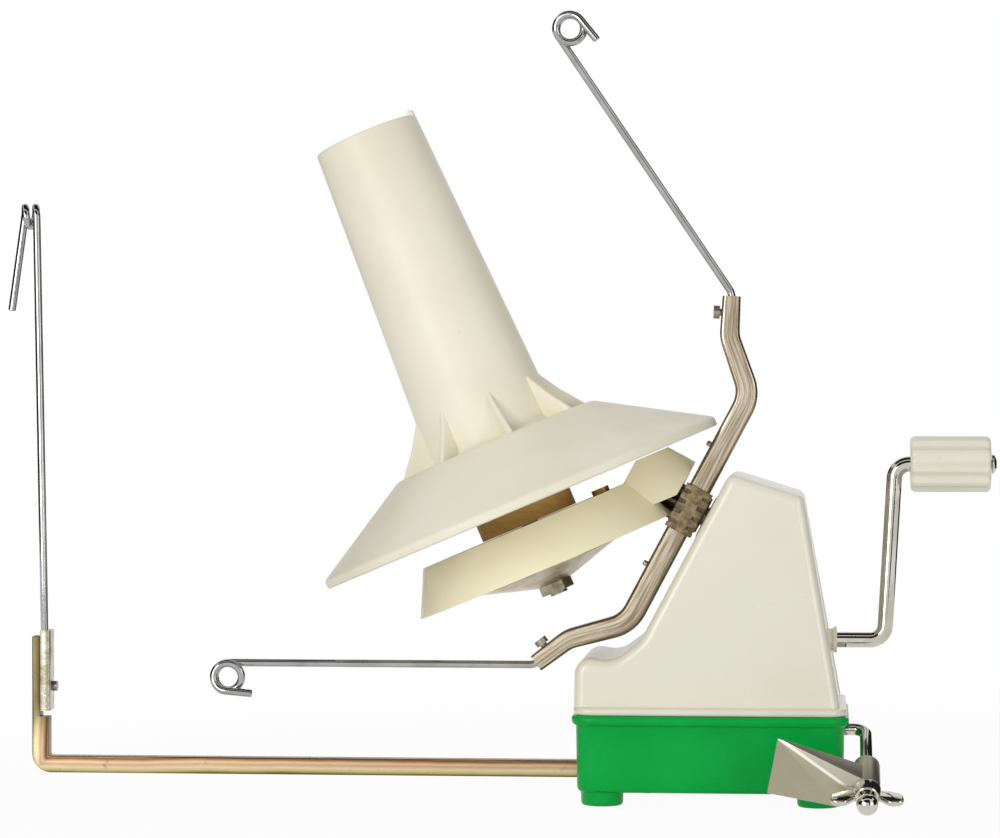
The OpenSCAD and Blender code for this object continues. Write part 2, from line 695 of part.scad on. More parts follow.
module flyer_bar() {
    color(nickel) on_flyer_axis() difference() {
        translate([0, -saddle, 0]) rotate([90, 0, 0]) {
            linear_extrude(bar_t) polygon(ribbon(bar_line, bar_w));
            linear_extrude(bar_d) difference() {
                polygon(ribbon(bar_line, bar_w));
                polygon(ribbon(concat(
                    [2 * bar_line[0] - bar_line[1]], bar_line, [2 * bar_tip - leg_end]), bar_w - 2 * bar_t));
            }
        }
        for (sx = [-1, 1]) translate([sx * 2.4, -saddle, 0]) rotate([90, 0, 0])
            cylinder(d = 1.9, h = 6, center = true);
        for (side = [-1, 1]) at_bar_end(side) cylinder(d = clamp_screw_d + 0.1, h = bar_w);
    }
}
module bar_rivets() {
    color(steel) on_flyer_axis() for (sx = [-1, 1]) translate([sx * 2.4, -saddle - bar_t, 0])
        rotate([90, 0, 0]) pan_screw(1.8, bar_t + 1.5, 3.2, 0.9);
}
module wire_screws() {
    color(steel) on_flyer_axis() for (side = [-1, 1]) at_bar_end(side)
        translate([0, 0, bar_w / 2 + 0.02]) pan_screw(clamp_screw_d, bar_w / 2 - wire_d / 2 - run, 4.4, 2);
}

// One flyer wire: held in the channel, bent outwards, and curled into an eye of one and a half turns
eye_r = 4.6;
eye_turn = 535;
flyer_tail = 9;
wire_angle = 62;
module flyer_wire() {
    lead = 14;
    way = [cos(wire_angle), sin(wire_angle)];
    start = bar_tip - lead * 0.8 * [cos(25), sin(25)];
    bent = arc_corner(start, bar_tip + [cos(25), sin(25)], bar_tip + [cos(25), sin(25)] + 30 * way, 5, 5);
    eye_from = bar_tip + [cos(25), sin(25)] + flyer_wire_len * way;
    middle = eye_from + eye_r * [way[1], -way[0]];
    steps = 30;
    curl = [for (i = [0:steps])
        let (a = wire_angle + 90 - eye_turn * i / steps)
        [middle[0] + eye_r * cos(a), -(wire_d + 0.5) * eye_turn / 360 * i / steps, middle[1] + eye_r * sin(a)]];
    last = curl[steps];
    leave = wire_angle - eye_turn;
    pts = concat(
        [[start[0], 0, start[1]]],
        [for (p = bent) [p[0], 0, p[1]]],
        curl,
        [last + flyer_tail * [cos(leave), 0, sin(leave)]]
    );
    translate([0, -saddle - bar_t - wire_d / 2 - run, 0]) wire_along(pts, wire_d);
}
module flyer_wire_upper() {
    color(steel) on_flyer_axis() flyer_wire();
}
module flyer_wire_lower() {
    color(steel) on_flyer_axis() mirror([1, 0, 0]) flyer_wire();
}

// Spool: flange and tube as one thin moulding, closed below by a floor
crown_z = rim_rise + rim_t + crown_rise;
tube_end = crown_z + tube_len;
floor_t = 2;
end_drop = 5;
tab_w = 6;
gusset_h = 18;
module spool() {
    w = spool_wall;
    inner_top = tube_end - end_drop - w;
    color(cream) on_spool_axis() difference() {
        union() {
            rotate_extrude($fn = 72) polygon([
                [rim_r - w, rim_rise],
                [rim_r, rim_rise],
                [rim_r, rim_rise + rim_t],
                [crown_r, crown_z],
                [tube_foot_r, crown_z],
                [tube_top_r, tube_end],
                [tube_top_r - w, tube_end],
                [tube_top_r - w, tube_end - end_drop],
                [0, tube_end - end_drop],
                [0, inner_top],
                [tube_top_r - w, inner_top],
                [tube_foot_r - w, crown_z - w],
                [crown_r - w, crown_z - w],
                [rim_r - w, rim_rise + rim_t - w / 2]
            ]);
            for (i = [0:gusset_count - 1]) rotate(i * 360 / gusset_count + 15) slab(-1, 1) polygon([
                [tube_foot_r - 1.4, crown_z - 0.6],
                [tube_foot_r - 1.75, crown_z + gusset_h],
                [crown_r - 0.8, crown_z - 0.6]
            ]);
            intersection() {
                translate([0, -tab_w / 2, tube_end - 1.5]) cube([rim_r, tab_w, 3.3]);
                translate([0, 0, tube_end - 2]) cylinder(r = tube_top_r, h = 5);
                translate([0, 0, tube_end - 2]) difference() {
                    cylinder(r = rim_r, h = 5);
                    translate([0, 0, -1]) cylinder(r = tube_top_r - w, h = 8);
                }
            }
        }
        translate([tube_top_r - 4, tab_w / 2 + 1.5, tube_end - end_drop + 0.5]) cube([8, 1.6, 10]);
    }
}
module flange_floor() {
    color(cream) on_spool_axis() translate([0, 0, rim_rise])
        ring(2 * (rim_r - spool_wall) - 0.02, axle_d + 0.02, floor_t - 0.5, $fn = 72);
}
module spool_disc() {
    color(tan_brown) on_spool_axis() translate([0, 0, dish_h + 0.3])
        ring(2 * disc_r, axle_d + 0.02, rim_rise - dish_h - 0.32);
}
plate_r = 24.5;
plate_drop = 5.3;
plate_t = 1;
nut_h = 3.2;
axle_nut_d = 11.5;
plate_foot = -gear_t / 2 - plate_drop - plate_t;
module spool_axle() {
    color(steel) on_spool_axis() translate([0, 0, plate_foot - nut_h - 1]) cylinder(d = axle_d, h = rim_rise + 9 - plate_foot);
}
module spool_gear() {
    color(cream) on_spool_axis() difference() {
        union() {
            bevel_wheel(spool_teeth, spool_gear_r, spool_cone, gear_t, slot_w);
            cylinder(d = 16, h = dish_h - axle_boss_h - 0.3);
        }
        translate([0, 0, -gear_t]) cylinder(d = axle_d + 0.02, h = 3 * dish_h);
    }
}
module gear_plate() {
    color(steel) on_spool_axis() translate([0, 0, -gear_t / 2 - 0.02]) rotate_extrude() polygon([
        [axle_d / 2 + 0.01, -plate_drop],
        [5.5, -plate_drop],
        [plate_r - 3, -0.9],
        [plate_r - 3, 0],
        [plate_r, 0],
        [plate_r, -0.9],
        [6.5, -plate_drop - plate_t],
        [axle_d / 2 + 0.01, -plate_drop - plate_t]
    ]);
}
module axle_nuts() {
    color(steel) on_spool_axis() {
        translate([0, 0, plate_foot - 0.05 - nut_h]) difference() {
            cylinder(d = axle_nut_d, h = nut_h, $fn = 6);
            translate([0, 0, -1]) cylinder(d = axle_d + 0.02, h = nut_h + 2);
        }
        translate([0, 0, rim_rise + floor_t]) difference() {
            cylinder(d = axle_nut_d, h = nut_h, $fn = 6);
            translate([0, 0, -1]) cylinder(d = axle_d + 0.02, h = nut_h + 2);
        }
    }
}

// Yarn guide: bent square bar, wire with a coiled eye, clip plate and screw
step_z = 27;
step_w = 2.8;
step_x = -guide_reach - guide_bar_s / 2 + step_w;
guide_wire_y = guide_y - guide_bar_s / 2 + wire_d / 2 + run;
guide_wire_x = step_x + wire_d / 2 + run;
guide_eye_r = 3.2;
guide_tail = 32;
clip_t = 0.9;
clip_gap = 0.05;
clip_z = step_z + 2;
clip_h = upright_h + 2 - clip_z;
guide_bend = 3.6;
guide_hole_d = 2.1;
guide_screw_up = 8;
guide_screw_at = [step_x + wire_d + 2 * run, guide_y + 1.3, clip_z + guide_screw_up];
module guide_bar() {
    inner_end = tub_front + guide_inside;
    line = concat(
        [[inner_end, guide_z]],
        arc_corner([inner_end, guide_z], [-guide_reach, guide_z], [-guide_reach, upright_h], guide_bend, 8),
        [[-guide_reach, upright_h]]
    );
    color(zinc_gold) difference() {
        slab(guide_y - guide_bar_s / 2, guide_y + guide_bar_s / 2) polygon(ribbon(line, guide_bar_s));
        translate([step_x, guide_y - guide_bar_s, step_z]) cube([guide_bar_s, 2 * guide_bar_s, upright_h]);
        translate([step_x - 3, guide_screw_at[1], guide_screw_at[2]]) rotate([0, 90, 0])
            cylinder(d = guide_hole_d, h = guide_bar_s);
    }
}
module guide_wire() {
    lean = [guide_wire_x - 2.6, guide_wire_y, eye_h];
    steps = 24;
    turns = 540;
    coil = [for (i = [0:steps])
        let (a = turns * i / steps)
        lean + [-3.6 * turns / 360 * i / steps, guide_eye_r * (1 - cos(a)), guide_eye_r * sin(a)]];
    last = coil[steps];
    color(steel) wire_along(concat(
        [[guide_wire_x, guide_wire_y, clip_z], [guide_wire_x, guide_wire_y, upright_h - 2]],
        [for (t = [0.2, 0.5, 0.8]) [guide_wire_x, guide_wire_y, upright_h - 2] * (1 - t) + lean * t],
        coil,
        [last + guide_tail * [-0.14, 0, -0.99]]
    ), wire_d);
}
module guide_clip() {
    color(zinc_gold) difference() {
        translate([step_x + 0.2, guide_y - guide_bar_s / 2 - clip_gap - clip_t, clip_z])
            cube([guide_screw_at[0] + clip_t - step_x - 0.2, guide_bar_s + 2 * (clip_gap + clip_t), clip_h]);
        translate([step_x - 1, guide_y - guide_bar_s / 2 - clip_gap, clip_z - 1])
            cube([guide_screw_at[0] - step_x + 1, guide_bar_s + 2 * clip_gap, clip_h + 2]);
        translate(guide_screw_at - [1, 0, 0]) rotate([0, 90, 0]) cylinder(d = guide_hole_d, h = clip_t + 2);
    }
}
module guide_screw() {
    color(steel) translate(guide_screw_at + [clip_t, 0, 0]) rotate([0, 90, 0])
        pan_screw(guide_hole_d - 0.1, wire_d + clip_t + step_w / 2, 3.4, 1.4);
}

// Clamp: a bent rod that swings in the tub, a sheet jaw that slides on it, and a wing nut
module on_clamp() {
    translate([0, clamp_y, clamp_z]) rotate([clamp_droop, 0, 0]) children();
}
jaw_back = 25;
sheet_back = 31;
nut_gap = 0.3;
clamp_len = jaw_back + jaw_w + 2 * nut_gap + nut_t + ball_d / 2;
module clamp_rod() {
    color(steel) on_clamp() {
        translate([lug_x + 1, 0, 0]) rotate([0, 90, 0]) cylinder(d = clamp_d, h = clamp_leg_x - clamp_bend - lug_x - 1);
        translate([clamp_leg_x - clamp_bend, -clamp_bend, 0]) rotate_extrude(angle = 90)
            translate([clamp_bend, 0]) circle(d = clamp_d, $fn = 40);
        translate([clamp_leg_x, -clamp_bend, 0]) rotate([90, 0, 0]) cylinder(d = clamp_d, h = clamp_len - clamp_bend);
        translate([clamp_leg_x, -clamp_len, 0]) sphere(d = ball_d, $fn = 48);
    }
}

// A sheet of even thickness: a fan of triangles from the first corner, moved along the shift for its other side
module folded_sheet(corners, shift) {
    n = len(corners);
    fan = [for (i = [1:n - 2]) [0, i, i + 1]];
    under = [for (f = fan) [f[0] + n, f[2] + n, f[1] + n]];
    rims = [for (i = [0:n - 1]) let (k = (i + 1) % n) each [[k, i, i + n], [k, i + n, k + n]]];
    polyhedron(concat(corners, [for (c = corners) c + shift]), concat(fan, under, rims));
}
module clamp_jaw() {
    front = -jaw_back - jaw_w;
    corners = [
        [3.5 - jaw_reach, -sheet_back, jaw_w - 2.5],
        [-1, -sheet_back, knuckle_d / 2 - 0.35],
        [-1, front, knuckle_d / 2 - 0.35],
        [0.3 - knuckle_d / 2, front, -0.6],
        [-9, front, -knuckle_d / 2 - 1.4],
        [-jaw_reach, -sheet_back, -knuckle_d / 2 - 2.2]
    ];
    color(nickel) on_clamp() translate([clamp_leg_x, 0, 0]) {
        folded_sheet(corners, jaw_t * [0.15, 0.7, -0.7]);
        translate([0, -jaw_back, 0]) rotate([90, 0, 0]) ring(knuckle_d, clamp_d + 2 * run, jaw_w);
    }
}
module wing_nut() {
    wing_t = 2;
    nut_from = jaw_back + jaw_w + nut_gap;
    color(steel) on_clamp() translate([clamp_leg_x, -nut_from, 0]) rotate([90, 0, 0]) difference() {
        union() {
            cylinder(d1 = 9.4, d2 = 7.8, h = nut_t, $fn = 48);
            for (sx = [-1, 1]) scale([sx, 1, 1]) slab(-wing_t / 2, wing_t / 2) polygon(rounded(
                [[3, 0.8], [3, nut_t - 0.4], [7, nut_t + 3.6], [11.8, nut_t + 3.2], [11.2, nut_t - 2], [6, 0.8]],
                [0, 0, 1.5, 1.8, 2, 0]));
        }
        translate([0, 0, -1]) cylinder(d = clamp_d + 2 * run, h = nut_t + 2);
    }
}

base_tub();
housing_shell();
rear_cover();
cover_screws();
base_screws();
crank_bush();
flyer_bush();
main_shaft();
carrier_dish();
carrier_bush();
carrier_screw();
crank_handle();
crank_gear();
crank_collar();
crank_knob();
knob_rivet();
flyer_sleeve();
inner_pinion();
flyer_hub();
flyer_bar();
bar_rivets();
wire_screws();
flyer_wire_upper();
flyer_wire_lower();
spool();
flange_floor();
spool_disc();
spool_axle();
spool_gear();
gear_plate();
axle_nuts();
guide_bar();
guide_wire();
guide_clip();
guide_screw();
clamp_rod();
clamp_jaw();
wing_nut();
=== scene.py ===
# %% [markdown]
# # A hand-cranked yarn ball winder
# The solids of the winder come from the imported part, in metres. This lesson dresses them: it sets
# up a camera and soft studio light, writes the finishes as small sums of nodes, and then rebuilds
# the pieces that the eye rests on with rounder edges than the solids have.

# %% Load the solids
import json
import math

import bmesh
import bpy
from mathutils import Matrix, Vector


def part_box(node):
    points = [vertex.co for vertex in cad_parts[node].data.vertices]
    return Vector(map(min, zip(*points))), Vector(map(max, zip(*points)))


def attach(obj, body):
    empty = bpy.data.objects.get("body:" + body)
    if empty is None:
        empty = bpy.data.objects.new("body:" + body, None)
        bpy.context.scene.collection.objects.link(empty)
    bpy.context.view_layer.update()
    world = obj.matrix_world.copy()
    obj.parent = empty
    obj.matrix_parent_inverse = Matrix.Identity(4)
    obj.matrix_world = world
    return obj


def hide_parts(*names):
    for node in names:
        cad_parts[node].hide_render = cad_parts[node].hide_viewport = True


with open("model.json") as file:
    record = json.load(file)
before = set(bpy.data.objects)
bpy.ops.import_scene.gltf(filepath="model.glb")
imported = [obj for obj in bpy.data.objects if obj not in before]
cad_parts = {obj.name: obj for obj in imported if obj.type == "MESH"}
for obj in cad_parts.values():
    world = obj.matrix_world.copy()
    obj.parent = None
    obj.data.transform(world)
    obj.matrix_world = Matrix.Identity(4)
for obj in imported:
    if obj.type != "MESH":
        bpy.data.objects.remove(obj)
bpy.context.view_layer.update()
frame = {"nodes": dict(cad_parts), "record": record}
NODES = frame["nodes"]
MM = 0.001


def linked(name, data):
    """A new object of the scene."""
    made = bpy.data.objects.new(name, data)
    bpy.context.scene.collection.objects.link(made)
    return made


print("nodes loaded:", len(NODES))

# %% [markdown]
# The winder is photographed from the side, from a little to the right, and almost level, so that
# the spool's flange is seen on its edge. A long lens keeps parallel edges nearly parallel. About
# three pixels show a millimetre in the plane of the winder's middle.

# %% Camera
FRAME_W = 1000
SENSOR = 36.0
PX_PER_MM = 2.971
AIM = Vector((-0.0714, 0.0, 0.1269))
TURN = math.radians(5.0)
LIFT = math.radians(0.6)
DISTANCE = 1.25

camera_data = bpy.data.cameras.new("camera")
camera_data.sensor_width = SENSOR
camera_data.lens = SENSOR * DISTANCE / (FRAME_W / PX_PER_MM * MM)
camera = linked("camera", camera_data)
towards_camera = Vector((
    math.sin(TURN) * math.cos(LIFT),
    -math.cos(TURN) * math.cos(LIFT),
    math.sin(LIFT),
))
camera.location = AIM + towards_camera * DISTANCE
camera.rotation_euler = towards_camera.to_track_quat("Z", "Y").to_euler()
bpy.context.scene.camera = camera
bpy.context.scene.view_settings.view_transform = "Standard"
print("lens", round(camera_data.lens, 1), "mm")

# %% [markdown]
# A finish is easier to read as a sum than as a page of links. The class below wraps one socket of
# a node, so `1 - mask * 0.4` adds the Math nodes that it needs. Every node comes from one method,
# which takes the node's type, its settings and the values or links of its sockets. Math nodes,
# vector nodes and the place of a point have short forms of it.

# %% Shader sums
class Value:
    """One output socket that takes part in sums."""

    def __init__(self, finish, socket):
        self.finish = finish
        self.socket = socket

    def __add__(self, other):
        return self.finish.sum("ADD", self, other)

    def __radd__(self, other):
        return self.finish.sum("ADD", other, self)

    def __sub__(self, other):
        return self.finish.sum("SUBTRACT", self, other)

    def __rsub__(self, other):
        return self.finish.sum("SUBTRACT", other, self)

    def __mul__(self, other):
        return self.finish.sum("MULTIPLY", self, other)


class Finish:
    """A node tree and the method that fills it."""

    def __init__(self, owner):
        owner.use_nodes = True
        self.owner = owner
        self.tree = owner.node_tree
        self.tree.nodes.clear()

    def node(self, kind, settings=None, sockets=None, output=0):
        made = self.tree.nodes.new("ShaderNode" + kind)
        for key, setting in (settings or {}).items():
            if key == "stops":
                self.set_stops(made.color_ramp, setting)
            else:
                setattr(made, key, setting)
        for key, value in (sockets or {}).items():
            socket = self.find(made.inputs, key)
            if isinstance(value, Value):
                self.tree.links.new(value.socket, socket)
            else:
                socket.default_value = value
        if not made.outputs:
            return made
        return Value(self, self.find(made.outputs, output))

    def sum(self, operation, *values):
        return self.node("Math", {"operation": operation}, dict(enumerate(values)))

    def vector(self, operation, *values, output="Vector"):
        return self.node("VectorMath", {"operation": operation}, dict(enumerate(values)), output)

    def place(self):
        return self.node("TexCoord", {}, {}, "Object")

    @staticmethod
    def find(sockets, key):
        if isinstance(key, int):
            return sockets[key]
        for socket in sockets:
            if socket.identifier == key:
                return socket
        return sockets[key]

    @staticmethod
    def set_stops(ramp, stops):
        while len(ramp.elements) < len(stops):
            ramp.elements.new(0.5)
        for element, (place, colour) in zip(ramp.elements, stops):
            element.position = place
            element.color = (*colour, 1.0)


def linear(red, green, blue):
    """A screen colour, 0 to 255, as the light values that a shader takes."""
    def one(level):
        level = level / 255.0
        if level <= 0.04045:
            return level / 12.92
        return ((level + 0.055) / 1.055) ** 2.4
    return (one(red), one(green), one(blue))


def mix(finish, factor, first, second):
    """A mix of two colours, each a colour or a socket."""
    def whole(colour):
        return colour if isinstance(colour, Value) else (*colour, 1.0)
    return finish.node(
        "Mix",
        {"data_type": "RGBA"},
        {"Factor_Float": factor, "A_Color": whole(first), "B_Color": whole(second)},
        "Result_Color",
    )


def noise(finish, where, scale, detail=3.0, roughness=0.5):
    return finish.node(
        "TexNoise",
        {"noise_dimensions": "3D"},
        {"Vector": where, "Scale": scale, "Detail": detail, "Roughness": roughness},
        "Fac",
    )


def stretched(finish, scale=(1.0, 1.0, 1.0)):
    """Object coordinates stretched along X, Y and Z."""
    return finish.vector("MULTIPLY", finish.place(), scale)


def ramp(finish, value, stops):
    return finish.node("ValToRGB", {"stops": stops}, {"Fac": value}, "Color")


def band(finish, value, low, high):
    """0 below low, 1 above high, and smooth between."""
    return finish.node(
        "MapRange",
        {"interpolation_type": "SMOOTHSTEP"},
        {"Value": value, "From Min": low, "From Max": high, "To Min": 0.0, "To Max": 1.0},
        "Result",
    )


def bump(finish, height, strength, distance):
    return finish.node(
        "Bump", {}, {"Strength": strength, "Distance": distance, "Height": height}, "Normal")


def surface(finish, sockets):
    """The material of a finish, closed with a shader and an output."""
    shader = finish.node("BsdfPrincipled", {}, sockets, "BSDF")
    finish.node("OutputMaterial", {}, {"Surface": shader})
    return finish.owner


def new_finish(name):
    return Finish(bpy.data.materials.new(name))


print("one node method carries every finish")

# %% [markdown]
# The moulded plastics are glossy but not perfect: slow waves in the wall bend the reflections, a
# fine grain dulls them here and there, and the cream has aged unevenly towards yellow. Slow noise
# drives the colour, and a faster one the gloss and the bump.

# %% Plastics
def plastic(name, colour, aged, gloss=0.3, wave=0.25, coat=0.2, shine=0.5):
    f = new_finish(name)
    where = stretched(f)
    slow = noise(f, where, 14.0, 2.0)
    cloud = noise(f, where, 55.0, 4.0, 0.6)
    grain = noise(f, where, 1900.0, 2.0)
    age = band(f, slow * 0.7 + cloud * 0.3, 0.38, 0.68)
    specks = band(f, noise(f, where, 420.0, 1.0), 0.72, 0.8)
    tint = mix(f, age, colour, aged)
    dusty = tuple(channel * 0.8 for channel in aged)
    shade = mix(f, specks * 0.12, tint, dusty)
    rough = gloss + (cloud - 0.5) * 0.16 + (grain - 0.5) * 0.08
    height = slow + cloud * 0.12 + grain * 0.012
    return surface(f, {
        "Base Color": shade,
        "Roughness": rough,
        "Normal": bump(f, height, wave, 0.0012),
        "Coat Weight": coat,
        "Coat Roughness": 0.12,
        "Specular IOR Level": shine,
        "IOR": 1.5,
    })


CREAM = plastic("cream_plastic", linear(241, 235, 216), linear(233, 226, 204), 0.44, 0.25, 0.03, 0.3)
HOUSING_CREAM = plastic("housing_cream", linear(231, 228, 211), linear(225, 221, 202))
YELLOWED = plastic("yellowed_plastic", linear(250, 242, 210), linear(241, 231, 197), 0.38)
KNOB_CREAM = plastic("knob_cream", linear(230, 227, 209), linear(223, 219, 198), 0.34)
GREEN = plastic("green_plastic", linear(4, 172, 70), linear(1, 163, 63), 0.27, 0.3, 0.0, 0.12)
INNER_BROWN = plastic("inner_brown", linear(134, 112, 80), linear(104, 82, 54), 0.36)
print("plastics made")

# %% [markdown]
# The metals differ in plating. The wires and the crank are bright, with faint drawing lines. The
# flyer bar and the jaw are nickelled sheet that has gone warm and cloudy. The guide bar is zinc
# plated with a yellow passivation that drifts a little at random, and bands of olive, straw, pink
# and brown are painted across the bar as reflections of its rounded edges, with painted shade on
# its upright.

# %% Metals
def metal(
        name, colour, clouded, gloss=0.18, cloud_scale=60.0, lines=(1.0, 1.0, 1.0), scratch=0.1, haze=0.14):
    f = new_finish(name)
    where = stretched(f)
    drawn = noise(f, stretched(f, lines), 900.0, 3.0, 0.6)
    cloud = noise(f, where, cloud_scale, 4.0, 0.6)
    pits = band(f, noise(f, where, 700.0, 2.0), 0.68, 0.8)
    tint = mix(f, band(f, cloud, 0.35, 0.7), colour, clouded)
    dark = tuple(channel * 0.45 for channel in clouded)
    return surface(f, {
        "Base Color": mix(f, pits * haze * 2.5, tint, dark),
        "Metallic": 1.0,
        "Roughness": gloss + (cloud + pits * 1.4 + (drawn - 0.5) * 0.7) * haze,
        "Normal": bump(f, drawn * 0.6 + cloud * 0.4, scratch, 0.0002),
    })


GUIDE_S = 5.6
GUIDE_OUTER_X = -227.8
GUIDE_UNDER_Z = 8.2


def zinc_with_painted_bands(name):
    """Yellow plating, with painted reflection bands from the outer side of the bend to its inner side."""
    f = new_finish(name)
    x = f.node("SeparateXYZ", {}, {"Vector": f.place()}, "X")
    z = f.node("SeparateXYZ", {}, {"Vector": f.place()}, "Z")
    inwards = f.sum("MINIMUM", x * 1000 - GUIDE_OUTER_X, z * 1000 - GUIDE_UNDER_Z)
    drift = noise(f, stretched(f, (0.25, 1.0, 0.6)), 80.0, 3.0, 0.6)
    blotch = noise(f, stretched(f), 240.0, 4.0, 0.65)
    across = inwards * (1 / GUIDE_S) + (drift - 0.5) * 0.3
    # painted reflections: the light pink stops are painted highlights, and the dark olive and brown stops are
    # painted dark reflections of the rounded edges
    tint = ramp(f, across, [
        (0.04, linear(104, 94, 48)),
        (0.18, linear(178, 167, 112)),
        (0.36, linear(202, 182, 152)),
        (0.54, linear(168, 142, 108)),
        (0.68, linear(190, 160, 130)),
        (0.82, linear(136, 102, 70)),
        (0.90, linear(88, 62, 42)),
        (0.99, linear(150, 122, 92)),
    ])
    # painted shade: above the bend, the upright is painted darker than the horizontal part
    upright = band(f, z * 1000, 16.0, 34.0)
    upright_shaded_tint = mix(f, upright * 0.95, tint, linear(88, 78, 48))
    stain = band(f, blotch, 0.58, 0.78)
    return surface(f, {
        "Base Color": mix(f, stain * 0.45, upright_shaded_tint, linear(104, 84, 50)),
        "Metallic": 1.0,
        "Roughness": 0.26 + blotch * 0.2 + stain * 0.15,
        "Normal": bump(f, blotch, 0.08, 0.0002),
    })


CHROME = metal(
    "bright_chrome", (0.44, 0.44, 0.44), (0.34, 0.34, 0.33), 0.05, 90.0, (1.0, 1.0, 0.05), 0.03, 0.05)
# painted reflection: the rod steel is tinted darker and olive, standing in for the dark olive surroundings
# that it mirrors
ROD_STEEL = metal(
    "polished_rod", (0.62, 0.60, 0.54), (0.48, 0.46, 0.39), 0.04, 90.0, (1.0, 1.0, 0.1), 0.04, 0.06)
NICKEL = metal(
    "aged_nickel", linear(196, 184, 160), linear(166, 150, 120), 0.24, 120.0, (0.2, 1.0, 0.2), 0.12)
SCREW_STEEL = metal("screw_steel", linear(170, 161, 142), linear(122, 112, 92), 0.26, 200.0)
BRONZE = metal("bush_bronze", linear(176, 138, 84), linear(140, 104, 60), 0.3, 150.0)
CLIP_STEEL = metal("clip_steel", linear(186, 182, 168), linear(132, 124, 100), 0.12, 260.0)
ZINC = zinc_with_painted_bands("zinc_with_painted_bands")
print("metals made")

# %% [markdown]
# The disc under the flange is a tan laminate. Its edge shows the layers as fine rings of lighter
# and darker brown, so a stretched noise runs along it. Its colours are painted lighter than the
# laminate's own, as painted light for the shade under the flange.

# %% Tan laminate
def laminate(name):
    f = new_finish(name)
    layers = noise(f, stretched(f, (0.6, 1.0, 3.0)), 300.0, 3.0, 0.6)
    mottle = noise(f, stretched(f), 90.0, 3.0)
    # painted light: these tan colours are lighter than the laminate's own, to make up for the shade under the
    # flange
    tint = mix(f, band(f, layers, 0.3, 0.7), linear(250, 206, 124), linear(236, 184, 98))
    return surface(f, {
        "Base Color": mix(f, mottle * 0.4, tint, linear(214, 164, 88)),
        "Roughness": 0.5 + layers * 0.2,
        "Normal": bump(f, layers, 0.2, 0.0004),
    })


TAN = laminate("tan_laminate")
print("laminate made")

# %% [markdown]
# The solids that stay in view get their finish first. The others are hidden later by pieces that
# are rebuilt with rounder edges, and each of those names its own finish.

# %% Finishes of the solids
DRESSED_IN = [
    (CREAM, ["crank_bush", "flange_floor"]),
    (YELLOWED, ["carrier_dish", "spool_gear"]),
    (INNER_BROWN, ["crank_gear", "inner_pinion"]),
    (TAN, ["spool_disc"]),
    (BRONZE, ["flyer_bush", "carrier_bush", "carrier_screw"]),
    (NICKEL, ["bar_rivets", "gear_plate"]),
    (SCREW_STEEL, [
        "cover_screws", "main_shaft", "crank_collar", "flyer_sleeve", "wire_screws", "spool_axle",
        "axle_nuts", "guide_screw"]),
]


def dress(node_name, material):
    """Give a solid one finish in place of its own."""
    slots = NODES[node_name].data.materials
    slots.clear()
    slots.append(material)


for material, node_names in DRESSED_IN:
    for node_name in node_names:
        dress(node_name, material)
print("solids dressed:", sum(len(node_names) for material, node_names in DRESSED_IN))

# %% [markdown]
# Two joints of the winder are tilted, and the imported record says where. Sizes are easiest to read
# along an axis, across it and in depth, so one helper turns such a triple of millimetres into a
# place in the frame. The clamp's rod hangs at an angle too and gets a helper of its own later.

# %% Tilted axes
JOINT = {joint["name"]: joint for joint in frame["record"]["behaviour"]["joints"]}
DEPTH = Vector((0.0, 1.0, 0.0))


def axis_place(joint_name):
    """A function from millimetres across, in depth and along a joint's axis to a place."""
    start = Vector(JOINT[joint_name]["pos_m"])
    along = Vector(JOINT[joint_name]["axis"])
    across = DEPTH.cross(along)

    def place(across_mm, depth_mm, along_mm):
        return start + (across * across_mm + DEPTH * depth_mm + along * along_mm) * MM
    return place


def plain_place(x, y, z):
    return Vector((x, y, z)) * MM


on_flyer = axis_place("flyer_spin")
on_spool = axis_place("spool_spin")
print("flyer hub at", [round(v, 4) for v in on_flyer(0, 0, 0)])

# %% [markdown]
# Most pieces here are skins over a row of rings: a tub is a row of rounded rectangles, a tube is a
# row of circles, and a bar is its cross-section carried along a line. A loft helper joins such
# rings with quads. Corners of a line are eased with true arcs, because a bent rod or a folded sheet
# never has a sharp corner.

# %% Rings, lofts and eased corners
def loft(form, rings, shut=False):
    """Skin rings of equal length with quads, closed by end faces or into a loop."""
    rows = [[form.verts.new(point) for point in ring] for ring in rings]
    pairs = list(zip(rows, rows[1:]))
    if shut:
        pairs.append((rows[-1], rows[0]))
    for low, high in pairs:
        count = len(low)
        for i in range(count):
            k = (i + 1) % count
            form.faces.new((low[i], low[k], high[k], high[i]))
    if not shut:
        form.faces.new(rows[0])
        form.faces.new(rows[-1])


def lofted(rings, shut=False):
    form = bmesh.new()
    loft(form, rings, shut)
    return form


def corner_arc(before, corner, after, radius, steps):
    """Points of the arc that eases one corner of a line."""
    back = (before - corner).normalized()
    on = (after - corner).normalized()
    half = back.angle(on) / 2
    middle = corner + (back + on).normalized() * (radius / math.sin(half))
    first = corner + back * (radius / math.tan(half)) - middle
    last = corner + on * (radius / math.tan(half)) - middle
    sweep = first.angle(last)
    arc = []
    for i in range(steps + 1):
        t = i / steps
        reach = first * math.sin((1 - t) * sweep) + last * math.sin(t * sweep)
        arc.append(middle + reach / math.sin(sweep))
    return arc


def eased(points, radii, steps=8):
    """An open line whose inner corners are rounded."""
    points = [Vector(point) for point in points]
    line = [points[0]]
    for i in range(1, len(points) - 1):
        if radii[i]:
            line += corner_arc(points[i - 1], points[i], points[i + 1], radii[i], steps)
        else:
            line.append(points[i])
    return line + [points[-1]]


CORNERS = ((1, 1), (-1, 1), (-1, -1), (1, -1))
CORNER_STEPS = 8


